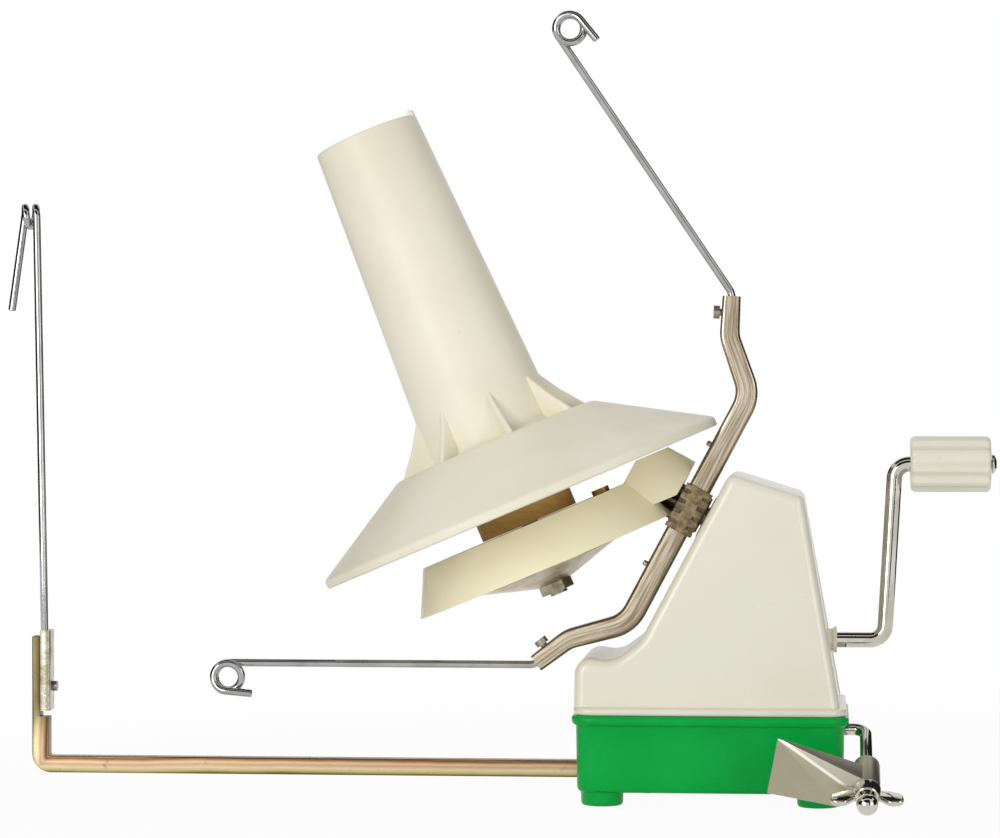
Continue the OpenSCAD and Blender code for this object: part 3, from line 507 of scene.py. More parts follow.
def rounded_rectangle(length, depth, corner, z):
    """A ring of millimetre points in a level plane."""
    ring = []
    for turn, (sx, sy) in enumerate(CORNERS):
        for i in range(CORNER_STEPS + 1):
            angle = math.pi / 2 * (turn + i / CORNER_STEPS)
            ring.append(plain_place(
                sx * (length / 2 - corner) + corner * math.cos(angle),
                sy * (depth / 2 - corner) + corner * math.sin(angle),
                z,
            ))
    return ring


def round_steps(count):
    """The cosine and sine of each step of one full turn."""
    return [(math.cos(math.tau * i / count), math.sin(math.tau * i / count)) for i in range(count)]


def turned(form, profile, place, count, shut=False):
    """A turned shape from a profile of radius and height."""
    loft(form, [
        [place(radius * across, radius * depth, along) for across, depth in round_steps(count)]
        for radius, along in profile], shut)


print("helpers ready")

# %% [markdown]
# A skin turns into a piece of the winder when it has a finish, a body to ride on and a material
# slot, and when the plain solid that it stands for is hidden. Openings are cut with a boolean
# modifier, whose result is kept as plain mesh.

# %% Pieces and openings
def loose_object(form, name):
    """An object made from a form, with its faces turned outwards."""
    bmesh.ops.recalc_face_normals(form, faces=form.faces[:])
    mesh = bpy.data.meshes.new(name)
    form.to_mesh(mesh)
    form.free()
    return linked(name, mesh)


def piece_from(form, name, material, body, stands_for=None, crease=38.0):
    """A smooth piece that rides on a body and may stand for a solid."""
    piece = loose_object(form, name)
    mesh = piece.data
    mesh.polygons.foreach_set("use_smooth", [True] * len(mesh.polygons))
    mesh.set_sharp_from_angle(angle=math.radians(crease))
    mesh.materials.append(material)
    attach(piece, body)
    if stands_for:
        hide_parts(stands_for)
    print(name, "has", len(mesh.polygons), "faces")
    return piece


def carved(form, cutters):
    """The form less each cutter."""
    whole = loose_object(form, "whole")
    tools = [loose_object(cutter, "cutter") for cutter in cutters]
    for tool in tools:
        cut = whole.modifiers.new("cut", "BOOLEAN")
        cut.operation = "DIFFERENCE"
        cut.solver = "EXACT"
        cut.object = tool
    graph = bpy.context.evaluated_depsgraph_get()
    mesh = bpy.data.meshes.new_from_object(whole.evaluated_get(graph))
    result = bmesh.new()
    result.from_mesh(mesh)
    for made in [whole] + tools:
        bpy.data.objects.remove(made)
    return result


def round_cutter(place, radius, low, high):
    form = bmesh.new()
    turned(form, [(radius, low), (radius, high)], place, 48)
    return form


def along_x(x, y, z):
    """Across is up, and along is the crank's direction."""
    return lambda across, depth, along: plain_place(x + along, y + depth, z + across)


def along_z(x, y, z):
    """Across is to the right, and along is up."""
    return lambda across, depth, along: plain_place(x + across, y + depth, z + along)


print("pieces can be made")

# %% [markdown]
# The tub is one green moulding. Its floor turns up into the walls with a soft edge, the walls lean
# out a little so that it leaves its mould, and a rounded bead runs round the rim. A bevel on a box
# would round all edges alike, so the tub is a row of rounded rectangles, each a little larger or
# smaller. The inside, the guide bar's slot and the clamp's bore are cut out of it.

# %% Green tub
TUB_L = 88.0
TUB_D = 64.0
TUB_WALL = 2.6
FOOT_H = 4.6
FOOT_IN = 8.5
RIM_Z = 30.0
CLAMP_Z = 25.4
CLAMP_Y = -22.0
ROD_BORE_R = 2.06
GUIDE_Y = -14.0
GUIDE_Z = 11.0
tub_steps = [
    (-2.6, FOOT_H), (-1.5, FOOT_H + 0.15), (-0.7, FOOT_H + 0.7), (-0.35, FOOT_H + 1.6),
    (-0.25, 12.0), (-0.12, 19.0), (0.0, 26.4), (0.25, 26.65), (0.8, 26.9), (1.25, 27.4),
    (1.5, 28.2), (1.5, 28.9), (1.25, 29.5), (0.8, 29.85), (0.2, RIM_Z), (-2.0, RIM_Z),
]
whole_tub = lofted([
    rounded_rectangle(TUB_L + 2 * grow, TUB_D + 2 * grow, 6.0 + grow, z) for grow, z in tub_steps])
hollow = lofted([
    rounded_rectangle(TUB_L - 2 * TUB_WALL, TUB_D - 2 * TUB_WALL, 4.0, z)
    for z in (FOOT_H + 2.4, RIM_Z + 2)])
half = GUIDE_S / 2 + 0.05
slot_cut = lofted([
    [plain_place(x, GUIDE_Y + a * half, GUIDE_Z + b * half) for a, b in CORNERS]
    for x in (-60.0, -38.0)])
bore_cut = round_cutter(along_x(0, CLAMP_Y, CLAMP_Z), ROD_BORE_R, 38.0, 60.0)
tub = carved(whole_tub, [hollow, slot_cut, bore_cut])
foot_profile = [
    (5.6, 0.0), (6.3, 0.12), (6.75, 0.5), (6.95, 1.2), (7.0, 3.6), (7.2, 4.4), (7.7, 4.9)]
for sx in (-1, 1):
    for sy in (-1, 1):
        foot = along_z(sx * (TUB_L / 2 - FOOT_IN), sy * (TUB_D / 2 - FOOT_IN), 0.0)
        turned(tub, foot_profile, foot, 48)
piece_from(tub, "green_tub", GREEN, "frame", "base_tub", 45.0)

# %% [markdown]
# The housing is a cream moulding with one outline, seen from the side: a rounded nose, a hollow
# curve, the slope that carries the flyer, and a roof that falls to the right. Its front edge is
# rounded all along that outline. An extruded outline with a bevel tears at the hollow curve, so the
# front is a row of outlines instead, each moved inwards along its own normals. A ledge closes the
# tub, and holes for the two bearings go through the walls.

# %% Housing outline
NOSE_X = -44.75
SLOPE_AT = -6.5
slope_foot = on_flyer(-45.0, 0, SLOPE_AT) / MM
slope_top = on_flyer(17.6, 0, SLOPE_AT) / MM
housing_corners = [
    (NOSE_X, RIM_Z), (NOSE_X + 0.4, 49.5), (slope_foot.x - 9.0, 47.5), (slope_foot.x, slope_foot.z),
    (slope_top.x, slope_top.z), (30.5, slope_top.z - 7.5), (43.0, RIM_Z),
]
housing_line = eased(housing_corners, [0, 5.5, 9, 14, 3.4, 3.4, 0], 10)


def moved_in(line, amount):
    """A line moved towards the inside of the housing, with its two feet kept on the rim."""
    moved = []
    for i, point in enumerate(line):
        before = line[max(i - 1, 0)]
        after = line[min(i + 1, len(line) - 1)]
        step = (after - before).normalized()
        inner = point + Vector((step.y, -step.x)) * amount
        if i in (0, len(line) - 1):
            inner.y = point.y
        moved.append(inner)
    return moved


def housing_ring(amount, y):
    return [plain_place(p.x, y, p.y) for p in moved_in(housing_line, amount)]


print("housing outline of", len(housing_line), "points")

# %% Housing moulding
HOUSING_Y = 29.0
HOUSING_WALL = 2.2
EDGE = 3.2
EDGE_STEPS = 8
LEDGE_L = TUB_L + 1.5
LEDGE_D = TUB_D + 1.5
ROOM_FOOT_Z = 28.0
CRANK_Z = 53.3
front_rings = []
for i in range(EDGE_STEPS + 1):
    angle = math.pi / 2 * i / EDGE_STEPS
    inwards = EDGE * (1 - math.sin(angle))
    front_rings.append(housing_ring(inwards, -HOUSING_Y + EDGE * (1 - math.cos(angle))))
front_rings += [housing_ring(0, 0.0), housing_ring(0, HOUSING_Y - 0.25), housing_ring(0.3, HOUSING_Y)]
whole_housing = lofted(front_rings)
ledge_steps = [(-0.9, 30.03), (-0.3, 30.3), (0.0, 30.8), (0.0, 31.7), (-0.25, 32.3), (-0.9, 32.6)]
whole_ledge = lofted([
    rounded_rectangle(LEDGE_L + 2 * grow, LEDGE_D + 2 * grow, 6.6 + grow, z) for grow, z in ledge_steps])
room_line = moved_in(housing_line, HOUSING_WALL)
for end in (0, -1):
    room_line[end].y = ROOM_FOOT_Z
room = lofted([
    [plain_place(p.x, y, p.y) for p in room_line] for y in (HOUSING_WALL - HOUSING_Y, HOUSING_Y + 2.0)])
ledge_room = room.copy()
crank_hole = round_cutter(along_x(0, 0, CRANK_Z), 3.72, 30.0, 50.0)
flyer_hole = round_cutter(on_flyer, 5.52, -14.0, 0.0)
housing = carved(whole_housing, [room, crank_hole, flyer_hole])
ledge = carved(whole_ledge, [ledge_room])
piece_from(housing, "housing_moulding", HOUSING_CREAM, "frame", "housing_shell", 40.0)
piece_from(ledge, "housing_ledge", HOUSING_CREAM, "frame", None, 45.0)

# %% [markdown]
# The back of the housing is closed by a flat cover with the same outline and a small rounded edge.

# %% Rear cover
COVER_LOW = 32.7
cover_line = [Vector((p.x, max(p.y, COVER_LOW))) for p in housing_line]
cover_steps = [
    (0.2, HOUSING_Y + 0.02), (0.05, HOUSING_Y + 0.2), (0.05, 30.1), (0.3, 30.6), (0.9, 30.9), (1.4, 30.98)]
cover = lofted([
    [plain_place(p.x, y, p.y) for p in moved_in(cover_line, amount)] for amount, y in cover_steps])
piece_from(cover, "rear_cover_plate", HOUSING_CREAM, "frame", "rear_cover", 45.0)

# %% [markdown]
# The spool is a thin moulding turned about its axis: a rim, a shallow cone, a flat crown and a long
# tapered tube. Turning a profile gives it in one go. Thin gussets brace the foot of the tube, each
# with a rounded upper edge, and a small tab stands on the tube's end, where the start of the yarn
# is caught.

# %% Spool flange and tube
RIM_R = 71.0
RIM_G = 19.3
CROWN_R = 35.5
CROWN_G = 43.3
TUBE_FOOT = 23.0
TUBE_TOP = 18.0
TUBE_END = CROWN_G + 112.0
GUSSET_H = 18.0
TAB_OUTER = TUBE_TOP - 0.05
TAB_INNER = 16.05
TAB_TURN = 0.168
spool = bmesh.new()
spool_profile = eased([
    (RIM_R - 2.0, RIM_G), (RIM_R, RIM_G), (RIM_R, RIM_G + 3.0), (CROWN_R, CROWN_G), (TUBE_FOOT, CROWN_G),
    (TUBE_TOP, TUBE_END), (TUBE_TOP - 2.0, TUBE_END), (TUBE_TOP - 2.2, TUBE_END - 5.0), (0.4, TUBE_END - 5.0),
], [0, 0.7, 1.6, 5.0, 2.4, 0.8, 0.6, 0.8, 0], 6)
turned(spool, spool_profile, on_spool, 128)


def gusset(form, turn):
    """One thin triangular brace with a rounded upper edge."""
    foot = Vector((TUBE_FOOT - 1.6, CROWN_G - 0.7))
    head = Vector((TUBE_FOOT - 1.75, CROWN_G + GUSSET_H - 0.4))
    toe = Vector((CROWN_R - 1.2, CROWN_G - 0.7))
    slope = (toe - head).normalized()
    inwards = Vector((slope.y, -slope.x))
    rings = []
    for i in range(7):
        side = math.cos(math.pi * i / 6)
        drop = 0.9 * (1 - math.sqrt(max(0.0, 1 - side * side)))
        middle = (toe + head) / 2 + inwards * (drop + 0.6)
        outline = [foot, toe + inwards * drop, middle, head + inwards * drop]
        rings.append([
            on_spool(
                p.x * math.cos(turn) - side * math.sin(turn),
                p.x * math.sin(turn) + side * math.cos(turn),
                p.y,
            ) for p in outline])
    loft(form, rings)


for i in range(8):
    gusset(spool, math.radians(15 + 45 * i))
tab = []
for rise, grow in ((-2.0, 0.0), (1.2, 0.0), (1.65, -0.25), (1.8, -0.6)):
    turns = [i / 4 * (TAB_TURN + grow * 0.05) for i in range(-4, 5)]
    outline = [(TAB_OUTER + grow, turn) for turn in turns]
    outline += [(TAB_INNER - grow, turn) for turn in reversed(turns)]
    tab.append([
        on_spool(radius * math.cos(turn), radius * math.sin(turn), TUBE_END + rise)
        for radius, turn in outline])
loft(spool, tab)
piece_from(spool, "spool_moulding", CREAM, "spool_body", "spool", 42.0)

# %% [markdown]
# Two finishes of the flyer depend on where a point is. The hub is painted darker towards the
# flyer's axis, as painted shade in the gaps between its teeth, so its colour follows the distance
# from the flyer's axis, and the floor of the block's notches is painted dark as shade. The bar
# shows streaks along its length, painted shade along its edges and a brown film where it crosses
# the hub. Painting would do it, but a sum of distances needs no image and follows the sizes.

# %% Finishes of the hub and the bar
FLYER_AT = Vector(JOINT["flyer_spin"]["pos_m"])
FLYER_OUT = Vector(JOINT["flyer_spin"]["axis"])
FLYER_UP = DEPTH.cross(FLYER_OUT)
NOTCH_SHADE_NEAR = -13.95
NOTCH_SHADE_FAR = -13.45
NOTCH_SHADE_EDGE = 0.05


def from_place(finish, place):
    return finish.vector("SUBTRACT", finish.place(), tuple(place))


def millimetres_along(finish, offset, way):
    return finish.vector("DOT_PRODUCT", offset, tuple(way), output="Value") * 1000


def millimetres_beside(finish, offset, way):
    across = finish.vector("CROSS_PRODUCT", offset, tuple(way))
    return finish.vector("LENGTH", across, output="Value") * 1000


def hub_with_painted_shade(name):
    f = new_finish(name)
    offset = from_place(f, FLYER_AT)
    mottle = noise(f, stretched(f), 420.0, 3.0, 0.6)
    # painted shade: the hub is painted darker towards the flyer's axis, in the gaps between its teeth
    tooth = band(f, millimetres_beside(f, offset, FLYER_OUT) + (mottle - 0.5) * 1.2, 4.6, 6.0)
    tooth_tone = mix(f, band(f, mottle, 0.3, 0.7), linear(178, 158, 122), linear(112, 88, 58))
    deep = millimetres_along(f, offset, DEPTH)
    # painted shade: the floor of the block's notches, at this depth, is painted dark
    behind_front = band(f, deep, NOTCH_SHADE_NEAR - NOTCH_SHADE_EDGE, NOTCH_SHADE_NEAR + NOTCH_SHADE_EDGE)
    behind_floor = band(f, deep, NOTCH_SHADE_FAR - NOTCH_SHADE_EDGE, NOTCH_SHADE_FAR + NOTCH_SHADE_EDGE)
    notch_shade_mask = behind_front * (1 - behind_floor)
    notch_shaded = mix(f, notch_shade_mask, tooth_tone, linear(58, 42, 24))
    return surface(f, {
        "Base Color": mix(f, tooth, linear(52, 38, 22), notch_shaded),
        "Roughness": 0.3 + mottle * 0.25,
        "Normal": bump(f, mottle, 0.1, 0.0003),
    })


def streaked_bar(name):
    f = new_finish(name)
    offset = from_place(f, FLYER_AT)
    along = millimetres_along(f, offset, FLYER_UP)
    sheet = f.node("Attribute", {"attribute_name": "sheet_run"}, {}, "Vector")
    lines = noise(f, f.vector("MULTIPLY", sheet, (0.035, 1.0, 1.0)), 1.1, 4.0, 0.65)
    cloud = noise(f, stretched(f), 160.0, 3.0, 0.6)
    tint = mix(f, band(f, lines, 0.36, 0.64), linear(204, 194, 174), linear(140, 126, 102))
    across = f.node("SeparateXYZ", {}, {"Vector": sheet}, "Y")
    # painted shade: dark lines are painted along both edges of the bar
    edge = band(f, f.sum("ABSOLUTE", across) + (lines - 0.5) * 1.6, 2.3, 3.2)
    beside_hub = f.sum("ABSOLUTE", along)
    film = (1 - band(f, beside_hub + (cloud - 0.5) * 4, 6.0, 9.0)) * (0.45 + cloud * 0.6)
    return surface(f, {
        "Base Color": mix(f, film, mix(f, edge * 0.6, tint, linear(104, 86, 62)), linear(138, 114, 78)),
        "Metallic": 1.0,
        "Roughness": 0.24 + lines * 0.16 + film * 0.15,
        "Normal": bump(f, lines, 0.12, 0.0002),
    })


HUB_BROWN = hub_with_painted_shade("hub_brown")
BAR_NICKEL = streaked_bar("bar_nickel")
dress("flyer_hub", HUB_BROWN)
print("hub and bar finishes made")

# %% [markdown]
# The flyer's bar is a channel folded from sheet, with its closed side to the viewer. Its line is
# straight across the hub, then bends outwards twice at each end. The section is carried along that
# line, with rounded folds on the outside and a small radius on the free edges. Each point also
# keeps how far along and across the sheet it lies, so that the finish can draw streaks that follow
# the bends.

# %% Flyer bar
SADDLE = 7.05
SHEET = 1.2
BAR_DEEP = 6.4
BAR_HALF = 3.7
BAR_BEND = 12.0
TAPER_FROM = 40.0
TAPER = 0.2
LEG_AT = 43.0
LEG = 20.5
LEG_ANGLE = math.radians(47)
TIP_ANGLE = math.radians(25)
TIP_WAY = Vector((math.cos(TIP_ANGLE), math.sin(TIP_ANGLE)))
leg_end = Vector((LEG_AT + LEG * math.cos(LEG_ANGLE), LEG * math.sin(LEG_ANGLE)))
bar_tip = leg_end + TIP_WAY * 13.5


def mirrored_end(point):
    return Vector((-point.x, point.y))


bar_line = eased(
    [mirrored_end(bar_tip), mirrored_end(leg_end), (-LEG_AT, 0.0), (LEG_AT, 0.0), leg_end, bar_tip],
    [0, BAR_BEND, BAR_BEND, BAR_BEND, BAR_BEND, 0], 12)


def channel_section(half, deep, sheet, fold, lip):
    """A closed outline of a channel: across the sheet, and back from its closed side."""
    outer = eased([(-half, deep - lip), (-half, 0.0), (half, 0.0), (half, deep - lip)], [0, fold, fold, 0], 6)
    inner_half = half - sheet
    inner = eased([
        (inner_half, deep - lip), (inner_half, sheet), (-inner_half, sheet), (-inner_half, deep - lip)],
        [0, fold * 0.5, fold * 0.5, 0], 4)
    right = [Vector((half - lip * 0.4, deep)), Vector((inner_half + lip * 0.4, deep))]
    left = [Vector((-inner_half - lip * 0.4, deep)), Vector((-half + lip * 0.4, deep))]
    return outer + right + inner + left


def carried(line, section, place, widths=None):
    """Rings of a section carried along a flat line, each made wider or narrower by its own factor."""
    rings = []
    for i, point in enumerate(line):
        before = line[max(i - 1, 0)]
        after = line[min(i + 1, len(line) - 1)]
        first = (point - before).normalized() if i > 0 else (after - point).normalized()
        second = (after - point).normalized() if i < len(line) - 1 else first
        way = (first + second).normalized()
        side = Vector((-way.y, way.x)) / max(0.5, way.dot(first))
        width = widths[i] if widths else 1.0
        rings.append([place(point + side * across * width, out) for across, out in section])
    return rings


section = channel_section(BAR_HALF, BAR_DEEP, SHEET, 1.3, 0.3)
taper_run = bar_tip.x - TAPER_FROM
bar_widths = [1 - TAPER * min(1, max(0, (abs(p.x) - TAPER_FROM) / taper_run)) for p in bar_line]
bar = lofted(carried(
    bar_line, section, lambda p, out: on_flyer(p.x, out - SADDLE - BAR_DEEP, p.y), bar_widths))
bar_piece = piece_from(bar, "channel_bar", BAR_NICKEL, "flyer", "flyer_bar", 50.0)
sheet_run = bar_piece.data.attributes.new("sheet_run", "FLOAT_VECTOR", "POINT")
run = 0.0
runs = []
for i, point in enumerate(bar_line):
    run += (point - bar_line[i - 1]).length if i else 0.0
    runs += [(run, across, out) for across, out in section]
sheet_run.data.foreach_set("vector", [value for triple in runs for value in triple])
print("bar is", round(run, 1), "mm long along its line")

# %% [markdown]
# A brown block is moulded with the hub and reaches round the bar. Its two long edges are notched
# like the teeth behind it. The notches are part of the outline, because a pattern in the finish
# alone would leave the edges straight. A thin floor behind them is painted dark, as shade in the
# notches. Two small pins stand on the side of the bar, one on each side of the hub.

# %% Hub block
BLOCK_HALF = 8.0
BLOCK_BACK = -5.0
BLOCK_FRONT = 4.6
BLOCK_MIDDLE = (BLOCK_BACK + BLOCK_FRONT) / 2
NOTCH = 1.8
NOTCH_IN = 2.7
NOTCH_STEP = 3.8
FACE_Y = -SADDLE - BAR_DEEP - 0.1
WALL_HALF = 6.0
WALL_IN = BAR_HALF + 0.1
WALL_END_Y = -4.6


def notched_edge(edge, inwards):
    """Points up one edge of the block, in and out of four notches."""
    points = [(-BLOCK_HALF, edge)]
    for i in range(4):
        middle = NOTCH_STEP * (i - 1.5)
        for step, deep in ((-0.5, 0.0), (-0.36, 1.0), (0.36, 1.0), (0.5, 0.0)):
            points.append((middle + step * NOTCH, edge + inwards * NOTCH_IN * deep))
    return points + [(BLOCK_HALF, edge)]


def block_ring(points, y, shrink):
    """An outline of the block at one depth, drawn in on all sides."""
    up_share = 1 - shrink / BLOCK_HALF
    out_share = 1 - shrink / (BLOCK_FRONT - BLOCK_MIDDLE)
    return [
        on_flyer(up * up_share, y, BLOCK_MIDDLE + (out - BLOCK_MIDDLE) * out_share)
        for up, out in points]


def upright_box(half, inner, outer):
    return [(-half, inner), (half, inner), (half, outer), (-half, outer)]


face_line = notched_edge(BLOCK_FRONT, -1) + notched_edge(BLOCK_BACK, 1)[::-1]
block = lofted([
    block_ring(face_line, FACE_Y - near, shrink)
    for near, shrink in ((0.3, 0.0), (0.9, 0.0), (1.2, 0.15), (1.35, 0.4))])
floor_line = upright_box(BLOCK_HALF, BLOCK_FRONT, BLOCK_BACK)
loft(block, [block_ring(floor_line, y, 0.25) for y in (FACE_Y, FACE_Y - 0.4)])
for inner, outer in ((WALL_IN, BLOCK_FRONT - 0.02), (BLOCK_BACK + 0.02, -WALL_IN)):
    side = upright_box(WALL_HALF, inner, outer)
    loft(block, [[on_flyer(up, y, out) for up, out in side] for y in (FACE_Y - 0.2, WALL_END_Y)])
piece_from(block, "hub_block", HUB_BROWN, "flyer", None, 40.0)

PIN_AT = 22.5
PIN_R = 0.9
PIN_DEEP = -SADDLE - BAR_DEEP / 2 - 0.8
pin_profile = [(PIN_R, 3.5), (PIN_R, 4.8), (PIN_R * 0.8, 5.05), (PIN_R * 0.4, 5.15)]
pins = bmesh.new()
for up in (-PIN_AT, PIN_AT):
    turned(pins, pin_profile, lambda a, d, out: on_flyer(up + a, PIN_DEEP + d, out), 16)
piece_from(pins, "bar_pins", SCREW_STEEL, "flyer", None, 40.0)
print("block and pins stand on the flyer")

# %% [markdown]
# Wires and rods are circles carried along a line in space. A curve with a bevel would do it too; a
# mesh of rings keeps the eased bends as exact arcs and lets the ends be rounded off like cut wire.
# Each ring is turned from the last one without twist.

# %% Wire helper
def wire(form, line, radius, sides=20):
    side = (line[1] - line[0]).normalized().orthogonal().normalized()
    rings = []
    last = len(line) - 1
    for i, point in enumerate(line):
        ahead = (line[min(i + 1, last)] - line[max(i - 1, 0)]).normalized()
        side = (side - ahead * side.dot(ahead)).normalized()
        other = ahead.cross(side)
        steps = [(0.0, 1.0)]
        if i == 0:
            steps = [(0.0, 0.55), (0.08, 0.8), (0.3, 1.0)]
        if i == last:
            steps = [(-0.3, 1.0), (-0.08, 0.8), (0.0, 0.55)]
        for shift, size in steps:
            middle = point + ahead * radius * shift
            rings.append([
                middle + (side * across + other * depth) * radius * size
                for across, depth in round_steps(sides)])
    loft(form, rings)


print("wire helper ready")

# %% [markdown]
# Each flyer wire sits in the end of the channel, leaves it with a bend, runs straight for about ten
# centimetres and ends in an eye of one and a half turns with a short straight tail. The lower wire
# is the upper one turned over.

# %% Flyer wires
WIRE_D = 2.6
WIRE_Y = -SADDLE - SHEET - WIRE_D / 2 - 0.05
WIRE_ANGLE = 62.0
EYE_R = 4.6
EYE_TURN = 535.0
EYE_PITCH = 3.1
EYE_STEPS = 72
EYE_TAIL = 9.0
wire_way = Vector((math.cos(math.radians(WIRE_ANGLE)), math.sin(math.radians(WIRE_ANGLE))))
bend_at = bar_tip + TIP_WAY
eye_from = bend_at + wire_way * 103.0
eye_middle = eye_from + Vector((wire_way.y, -wire_way.x)) * EYE_R
flat_line = eased([bar_tip - TIP_WAY * 11.2, bend_at, eye_from], [0, 5.0, 0], 10)[:-1]
wire_line = [(p.x, 0.0, p.y) for p in flat_line]
for i in range(EYE_STEPS + 1):
    part = i / EYE_STEPS
    angle = math.radians(WIRE_ANGLE + 90 - EYE_TURN * part)
    wire_line.append((
        eye_middle.x + EYE_R * math.cos(angle),
        -EYE_PITCH * EYE_TURN / 360 * part,
        eye_middle.y + EYE_R * math.sin(angle),
    ))
leave = math.radians(WIRE_ANGLE - EYE_TURN)
end = Vector(wire_line[-1])
wire_line.append(tuple(end + Vector((math.cos(leave), 0.0, math.sin(leave))) * EYE_TAIL))
for name, turn in (("flyer_wire_upper", 1), ("flyer_wire_lower", -1)):
    form = bmesh.new()
    placed = [on_flyer(turn * across, WIRE_Y + deep, along) for across, deep, along in wire_line]
    wire(form, placed, WIRE_D / 2 * MM)
    piece_from(form, name + "_rod", CHROME, "flyer", name)

# %% [markdown]
# The crank is one bent rod: a shaft out of the housing, an arm that leans a little outwards, and a
# pin for the knob. The knob has ten shallow flutes and soft ends. Cutting grooves from a cylinder
# leaves knife edges, so the radius of each ring dips smoothly where a flute runs. A rivet head on
# the end of the pin keeps the knob on.

# %% Crank rod
CRANK_R = 58.7
ARM_LEAN = math.radians(3.4)
ARM_X = 57.4
CRANK_BEND = 5.0
PIN_Z = CRANK_Z + CRANK_R
KNOB_LEN = 26.6
arm_top_x = ARM_X + CRANK_R * math.tan(ARM_LEAN)
knob_x = arm_top_x + CRANK_BEND * math.tan((math.pi / 2 - ARM_LEAN) / 2) + 0.3
pin_end = knob_x + KNOB_LEN + 0.4
shaft_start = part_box("crank_handle")[0][0] / MM
crank = bmesh.new()
crank_line = eased(
    [(shaft_start, CRANK_Z), (ARM_X, CRANK_Z), (arm_top_x, PIN_Z), (pin_end, PIN_Z)],
    [0, CRANK_BEND, CRANK_BEND, 0], 12)
wire(crank, [plain_place(p.x, 0.0, p.y) for p in crank_line], 2.6 * MM, 28)
piece_from(crank, "crank_rod", ROD_STEEL, "crank", "crank_handle")

# %% Knob and rivet
KNOB_R = 9.3
KNOB_BORE_R = 2.66
KNOB_SIDES = 240
FLUTE_STEP = 36
FLUTE_HALF = 2.25
FLUTE_DEEP = 0.9
knob_profile = eased([
    (KNOB_BORE_R, 0.0), (KNOB_R, 0.0), (KNOB_R, KNOB_LEN), (KNOB_BORE_R, KNOB_LEN)],
    [0, 1.7, 1.7, 0], 8)
knob_rings = []
for p in knob_profile:
    ring = []
    for k in range(KNOB_SIDES):
        angle = math.tau * k / KNOB_SIDES
        flute = (math.degrees(angle) - 10) % FLUTE_STEP
        reach = math.radians(min(flute, FLUTE_STEP - flute)) * KNOB_R
        dip = FLUTE_DEEP * max(0.0, 1 - (reach / FLUTE_HALF) ** 2) ** 1.3
        radius = p.x - dip * min(1.0, max(0.0, (p.x - 2.7) / 5.0))
        ring.append(plain_place(knob_x + p.y, radius * math.sin(angle), PIN_Z - radius * math.cos(angle)))
    knob_rings.append(ring)
knob = lofted(knob_rings, shut=True)
piece_from(knob, "fluted_knob", KNOB_CREAM, "knob", "crank_knob", 50.0)
rivet_profile = eased(
    [(0.3, 0.01), (3.3, 0.01), (3.3, 0.7), (1.6, 1.58), (0.3, 1.6)], [0, 0.2, 0.7, 1.2, 0], 6)
rivet = bmesh.new()
turned(rivet, rivet_profile, along_x(pin_end, 0, PIN_Z), 40)
piece_from(rivet, "rivet_head", ROD_STEEL, "crank", "knob_rivet", 50.0)

# %% [markdown]
# The yarn guide's bar is square and bent up at its end, where half of its thickness is cut away to
# seat a wire. A bright channel clip and a screw hold the wire there. The wire ends in a small coil
# whose axis points to the winder.

# %% Guide bar
STEP_Z = 27.0
STEP_X = -225.0
UPRIGHT_H = 54.0
TONGUE_X = -226.4
half = GUIDE_S / 2
square = eased(
    [(0.0, half), (half, half), (half, -half), (-half, -half), (-half, half), (0.0, half)],
    [0, 0.45, 0.45, 0.45, 0.45, 0], 4)[:-1]
inner_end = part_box("guide_bar")[1][0] / MM
guide_line = eased([(inner_end, GUIDE_Z), (STEP_X, GUIDE_Z), (STEP_X, STEP_Z)], [0, 3.6, 0], 12)
guide_bar = lofted(carried(guide_line, square, lambda p, out: plain_place(p.x, GUIDE_Y + out, p.y)))
thin = eased([
    (TONGUE_X, half), (STEP_X, half), (STEP_X, -half), (GUIDE_OUTER_X, -half), (GUIDE_OUTER_X, half),
    (TONGUE_X, half)], [0, 0.3, 0.3, 0.45, 0.45, 0], 4)[:-1]
top_steps = [(0.0, STEP_Z - 0.01), (0.0, UPRIGHT_H - 0.5), (0.12, UPRIGHT_H - 0.15), (0.45, UPRIGHT_H)]
loft(guide_bar, [
    [plain_place(p.x + (TONGUE_X - p.x) * 0.6 * shrink, GUIDE_Y + p.y * (1 - 0.35 * shrink), z) for p in thin]
    for shrink, z in top_steps])
piece_from(guide_bar, "zinc_guide_bar", ZINC, "guide", "guide_bar", 40.0)

# %% Guide clip
CLIP_SHEET = 0.9
clip_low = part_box("guide_clip")[0] / MM
clip_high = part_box("guide_clip")[1] / MM
clip_half = (clip_high.y - clip_low.y) / 2
clip_section = channel_section(clip_half, clip_high.x - clip_low.x, CLIP_SHEET, CLIP_SHEET, 0.2)
clip_rings = []
for z, shrink in ((clip_low.z, 0.25), (clip_low.z + 0.3, 0.0), (clip_high.z - 0.3, 0.0), (clip_high.z, 0.25)):
    clip_rings.append([
        plain_place(
            clip_high.x - p.y - shrink * (CLIP_SHEET / 2 - p.y) * (p.y < CLIP_SHEET), GUIDE_Y + p.x, z)
        for p in clip_section])
clip = lofted(clip_rings)
piece_from(clip, "clip_channel", CLIP_STEEL, "guide", "guide_clip", 45.0)

